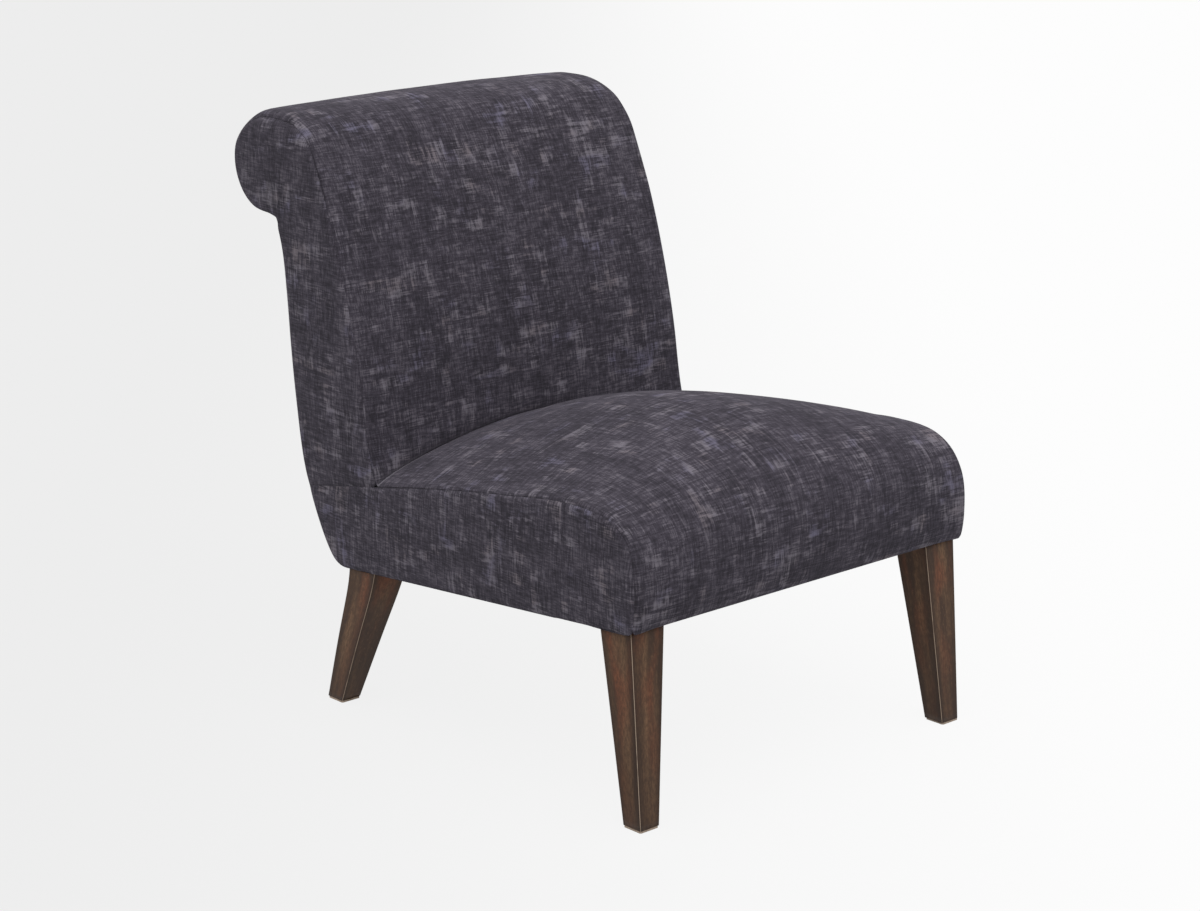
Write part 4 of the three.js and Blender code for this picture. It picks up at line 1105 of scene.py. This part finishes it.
for end in ("front", "rear"):
    for side, word in ((-1, "left"), (1, "right")):
        name = "leg" + end.capitalize() + word.capitalize()
        newPiece(name, legMesh(name, side, end), legWalnut, "walnut", f"leg_{end}_{word}")
print("legs made")

# Cloth under the seat and behind the back
under = {
    "legRoom": 0.0553,
    "cover": 0.0023,
    "front": 0.0045,
    "back": 0.5805,
    "sag": 0.005,
    "sagWidth": 0.26,
    "sagMiddle": 0.29,
    "sagDepth": 0.28,
    "thickness": 0.001,
    "step": 0.016,
}


def dustCoverMesh():
    front, back = under["front"], under["back"]
    frontNotch = leg["front"]["end"] + under["legRoom"]
    rearNotch = leg["rear"]["end"] - under["legRoom"]
    sides = [halfWidthAt(y) - under["cover"] for y in (frontNotch, rearNotch)]
    notch = {
        end: halfWidthAt(leg[end]["end"] + inward * leg["top"] / 2) - leg["inset"] - under["legRoom"]
        for end, inward in (("front", 1), ("rear", -1))
    }
    half = [
        (notch["front"], front), (notch["front"], frontNotch), (sides[0], frontNotch),
        (sides[1], rearNotch), (notch["rear"], rearNotch), (notch["rear"], back),
    ]
    corners = half + [(-x, y) for x, y in reversed(half)]
    loop = []
    for a, b in zip(corners, corners[1:] + corners[:1]):
        loop += stepsBetween(np.array(a), np.array(b), under["step"], 0)
    points, triangles = fillLoop(np.array(loop), np.zeros((0, 2)), under["step"])
    turnFaces(points, triangles, -1)
    x, y = points.T
    ease = np.clip(1 - (x / under["sagWidth"]) ** 2, 0, 1)
    ease *= np.clip(1 - ((y - under["sagMiddle"]) / under["sagDepth"]) ** 2, 0, 1)
    z = hemHeightAt(y) + leg["frameRise"] - leg["gap"] - under["sag"] * ease
    skins = [np.stack([x, y, z - under["thickness"]], 1), np.stack([x, y, z], 1)]
    mesh = meshFrom("dustCover", toPart(np.concatenate(skins)), twoSkins(triangles, len(points))[0])
    mesh.shade_smooth()
    return mesh


def gridMesh(name, places, thickness):
    mesh = gridShell(name, places, places - gridNormals(places) * thickness)
    mesh.shade_smooth()
    return mesh


deck = {
    "points": 29,
    "rise": 0.0095,  # above the rails
    "crown": 0.0158,
    "crownPower": 10,
    "ripple": 0.0006,
    "ripples": 7,
    "inset": 0.0025,
    "thickness": 0.0012,
}


def deckMesh():
    low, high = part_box("deck_cloth")
    u, t = np.meshgrid(np.linspace(-1, 1, deck["points"]), np.linspace(0, 1, deck["points"]))
    y = low.y + (high.y - low.y) * t
    front, rear = [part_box(rail)[1].z + deck["rise"] for rail in ("front_rail", "rear_rail")]
    z = front + (rear - front) * t
    z += deck["crown"] * 4 * t * (1 - t) * (1 - np.abs(u) ** deck["crownPower"])
    z += deck["ripple"] * np.cos(u * math.pi * deck["ripples"]) * np.sin(t * math.pi)
    x = u * (halfWidthAt(y - hemFront) - deck["inset"])
    return gridMesh("deckCloth", np.stack([x, y, z], -1), deck["thickness"])


webbing = {
    "points": (61, 21),  # along and across
    "rib": 0.0003,
    "ribs": 20,
    "behind": 0.0008,
    "thickness": 0.0012,
}


def strapMesh(number):
    low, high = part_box(f"back_webbing_{number}")
    u, t = np.meshgrid(*[np.linspace(0, 1, count) for count in webbing["points"]])
    rib = webbing["rib"] * np.sin(t * math.pi * webbing["ribs"])
    x = low.x + (high.x - low.x) * u
    y = low.y + (high.y - low.y) * t + webbing["behind"]
    z = low.z + (high.z - low.z) * t + rib
    return gridMesh(f"backWebbing{number}", np.stack([x, y + rib, z], -1), webbing["thickness"])


blackCloth, elasticStrap = finishes["blackCloth"], finishes["elasticStrap"]
dustCover = newPiece("dustCover", dustCoverMesh(), blackCloth, "black_cloth", "dust_cover")
deckCloth = newPiece("deckCloth", deckMesh(), blackCloth, "black_cloth", "deck_cloth")
for number in (1, 2, 3):
    strap = strapMesh(number)
    newPiece(f"backWebbing{number}", strap, elasticStrap, "elastic_strap", f"back_webbing_{number}")
bpy.context.view_layer.update()
declareSheet(dustCover)
declareSheet(deckCloth)
print("cloths made")

# Pieces of the frame that keep their CAD shape: the first word that is in a name gives the finish
frameFinishes = {
    "spring_clip": "zincSteel", "tee_nut": "zincSteel", "hanger_bolt": "zincSteel",
    "spring": "springSteel", "wire": "springSteel", "glide": "paleGlide", "block": "beech",
    "core": "tubeBoard", "side_rail": "plywood", "rail": "crossPlywood", "post": "plywood",
}
for name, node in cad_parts.items():
    found = [finish for word, finish in frameFinishes.items() if word in name]
    if found:
        node.data.materials.clear()
        node.data.materials.append(finishes[found[0]])

# Camera, floor and light
view = {
    "azimuth": -42.35,
    "elevation": 15.52,
    "place": (-2.5368, -2.4058, 1.3834),
    "lens": 88.397,
    "sensor": 36,
    "farthest": 100,
}
lamp = {"world": 0.4, "backdrop": 0.86, "key": 1.35, "keySpread": 60, "keyFrom": (-0.2, -0.22, 0.95)}
ground = {
    "half": 40,  # half its width
    "drop": 0.0004,  # below the glides
    # painted light: the floor is painted darker on the left and lighter on the right, for the studio
    # light's fall-off
    "left": srgb(238, 238, 238),
    "right": srgb(254, 254, 254),
    "turn": 0.9,  # half width of the change from one to the other
    "shown": 0.95,  # share of its brightness that no shadow takes away
    "unseen": srgb(188, 188, 188),
}


def placeCamera():
    data = bpy.data.cameras.new("camera")
    camera = addObject("camera", data)
    data.sensor_fit = "HORIZONTAL"
    data.sensor_width = view["sensor"]
    data.lens = view["lens"]
    data.clip_end = view["farthest"]
    x, y, z = view["place"]
    camera.location = (x, y + hemFront, z)
    camera.rotation_euler = (math.radians(90 - view["elevation"]), 0, math.radians(view["azimuth"]))
    scene.camera = camera


def seenRays(tree):
    # 1 where the camera looks, straight or in a reflection
    path = setNode(tree, "LightPath").outputs
    seen = maths(tree, "MAXIMUM", path["Is Camera Ray"], path["Is Glossy Ray"])
    return maths(tree, "MAXIMUM", seen, path["Is Transmission Ray"])


def floorMaterial():
    # near white to the eye, while the chair itself is lit by a greyer floor
    material, tree, shader = newMaterial("paleFloor")
    spot = setNode(tree, "NewGeometry").outputs["Position"]
    turn = math.radians(view["azimuth"])
    sockets = {0: spot, 1: (math.cos(turn), math.sin(turn), 0)}
    across = setNode(tree, "VectorMath", sockets, operation="DOT_PRODUCT").outputs["Value"]
    # painted light: darker to the left, lighter to the right
    rightShare = ramp(tree, across, -ground["turn"], ground["turn"])
    colour = mixColour(tree, rightShare, ground["left"], ground["right"])
    seen = seenRays(tree)
    shade = mixColour(tree, 1 - ground["shown"], (0, 0, 0, 1), colour)
    fill(tree, shader, {
        "Base Color": mixColour(tree, seen, ground["unseen"], shade),
        "Emission Color": colour,
        "Emission Strength": maths(tree, "MULTIPLY", seen, ground["shown"]),
        "Roughness": 1.0,
        "Specular IOR Level": 0.0,
    })
    return material


def placeFloor():
    half = ground["half"]
    corners = [(-half, -half, 0), (half, -half, 0), (half, half, 0), (-half, half, 0)]
    mesh = meshFrom("floor", corners, [(0, 1, 2, 3)])
    floor = addObject("floor", mesh)
    floor.location.z = -ground["drop"]
    mesh.materials.append(floorMaterial())


def placeLight():
    world = bpy.data.worlds.new("studio")
    scene.world = world
    world.use_nodes = True
    tree = world.node_tree
    more = lamp["backdrop"] - lamp["world"]
    strength = maths(tree, "MULTIPLY_ADD", seenRays(tree), more, lamp["world"])
    fill(tree, tree.nodes["Background"], {"Color": (1, 1, 1, 1), "Strength": strength})
    data = bpy.data.lights.new("softKey", "SUN")
    data.energy = lamp["key"]
    data.angle = math.radians(lamp["keySpread"])
    key = addObject("softKey", data)
    key.rotation_euler = Vector(lamp["keyFrom"]).to_track_quat("Z", "Y").to_euler()


placeCamera()
placeFloor()
placeLight()
scene.view_settings.view_transform = "Standard"
print("camera, floor and light placed")
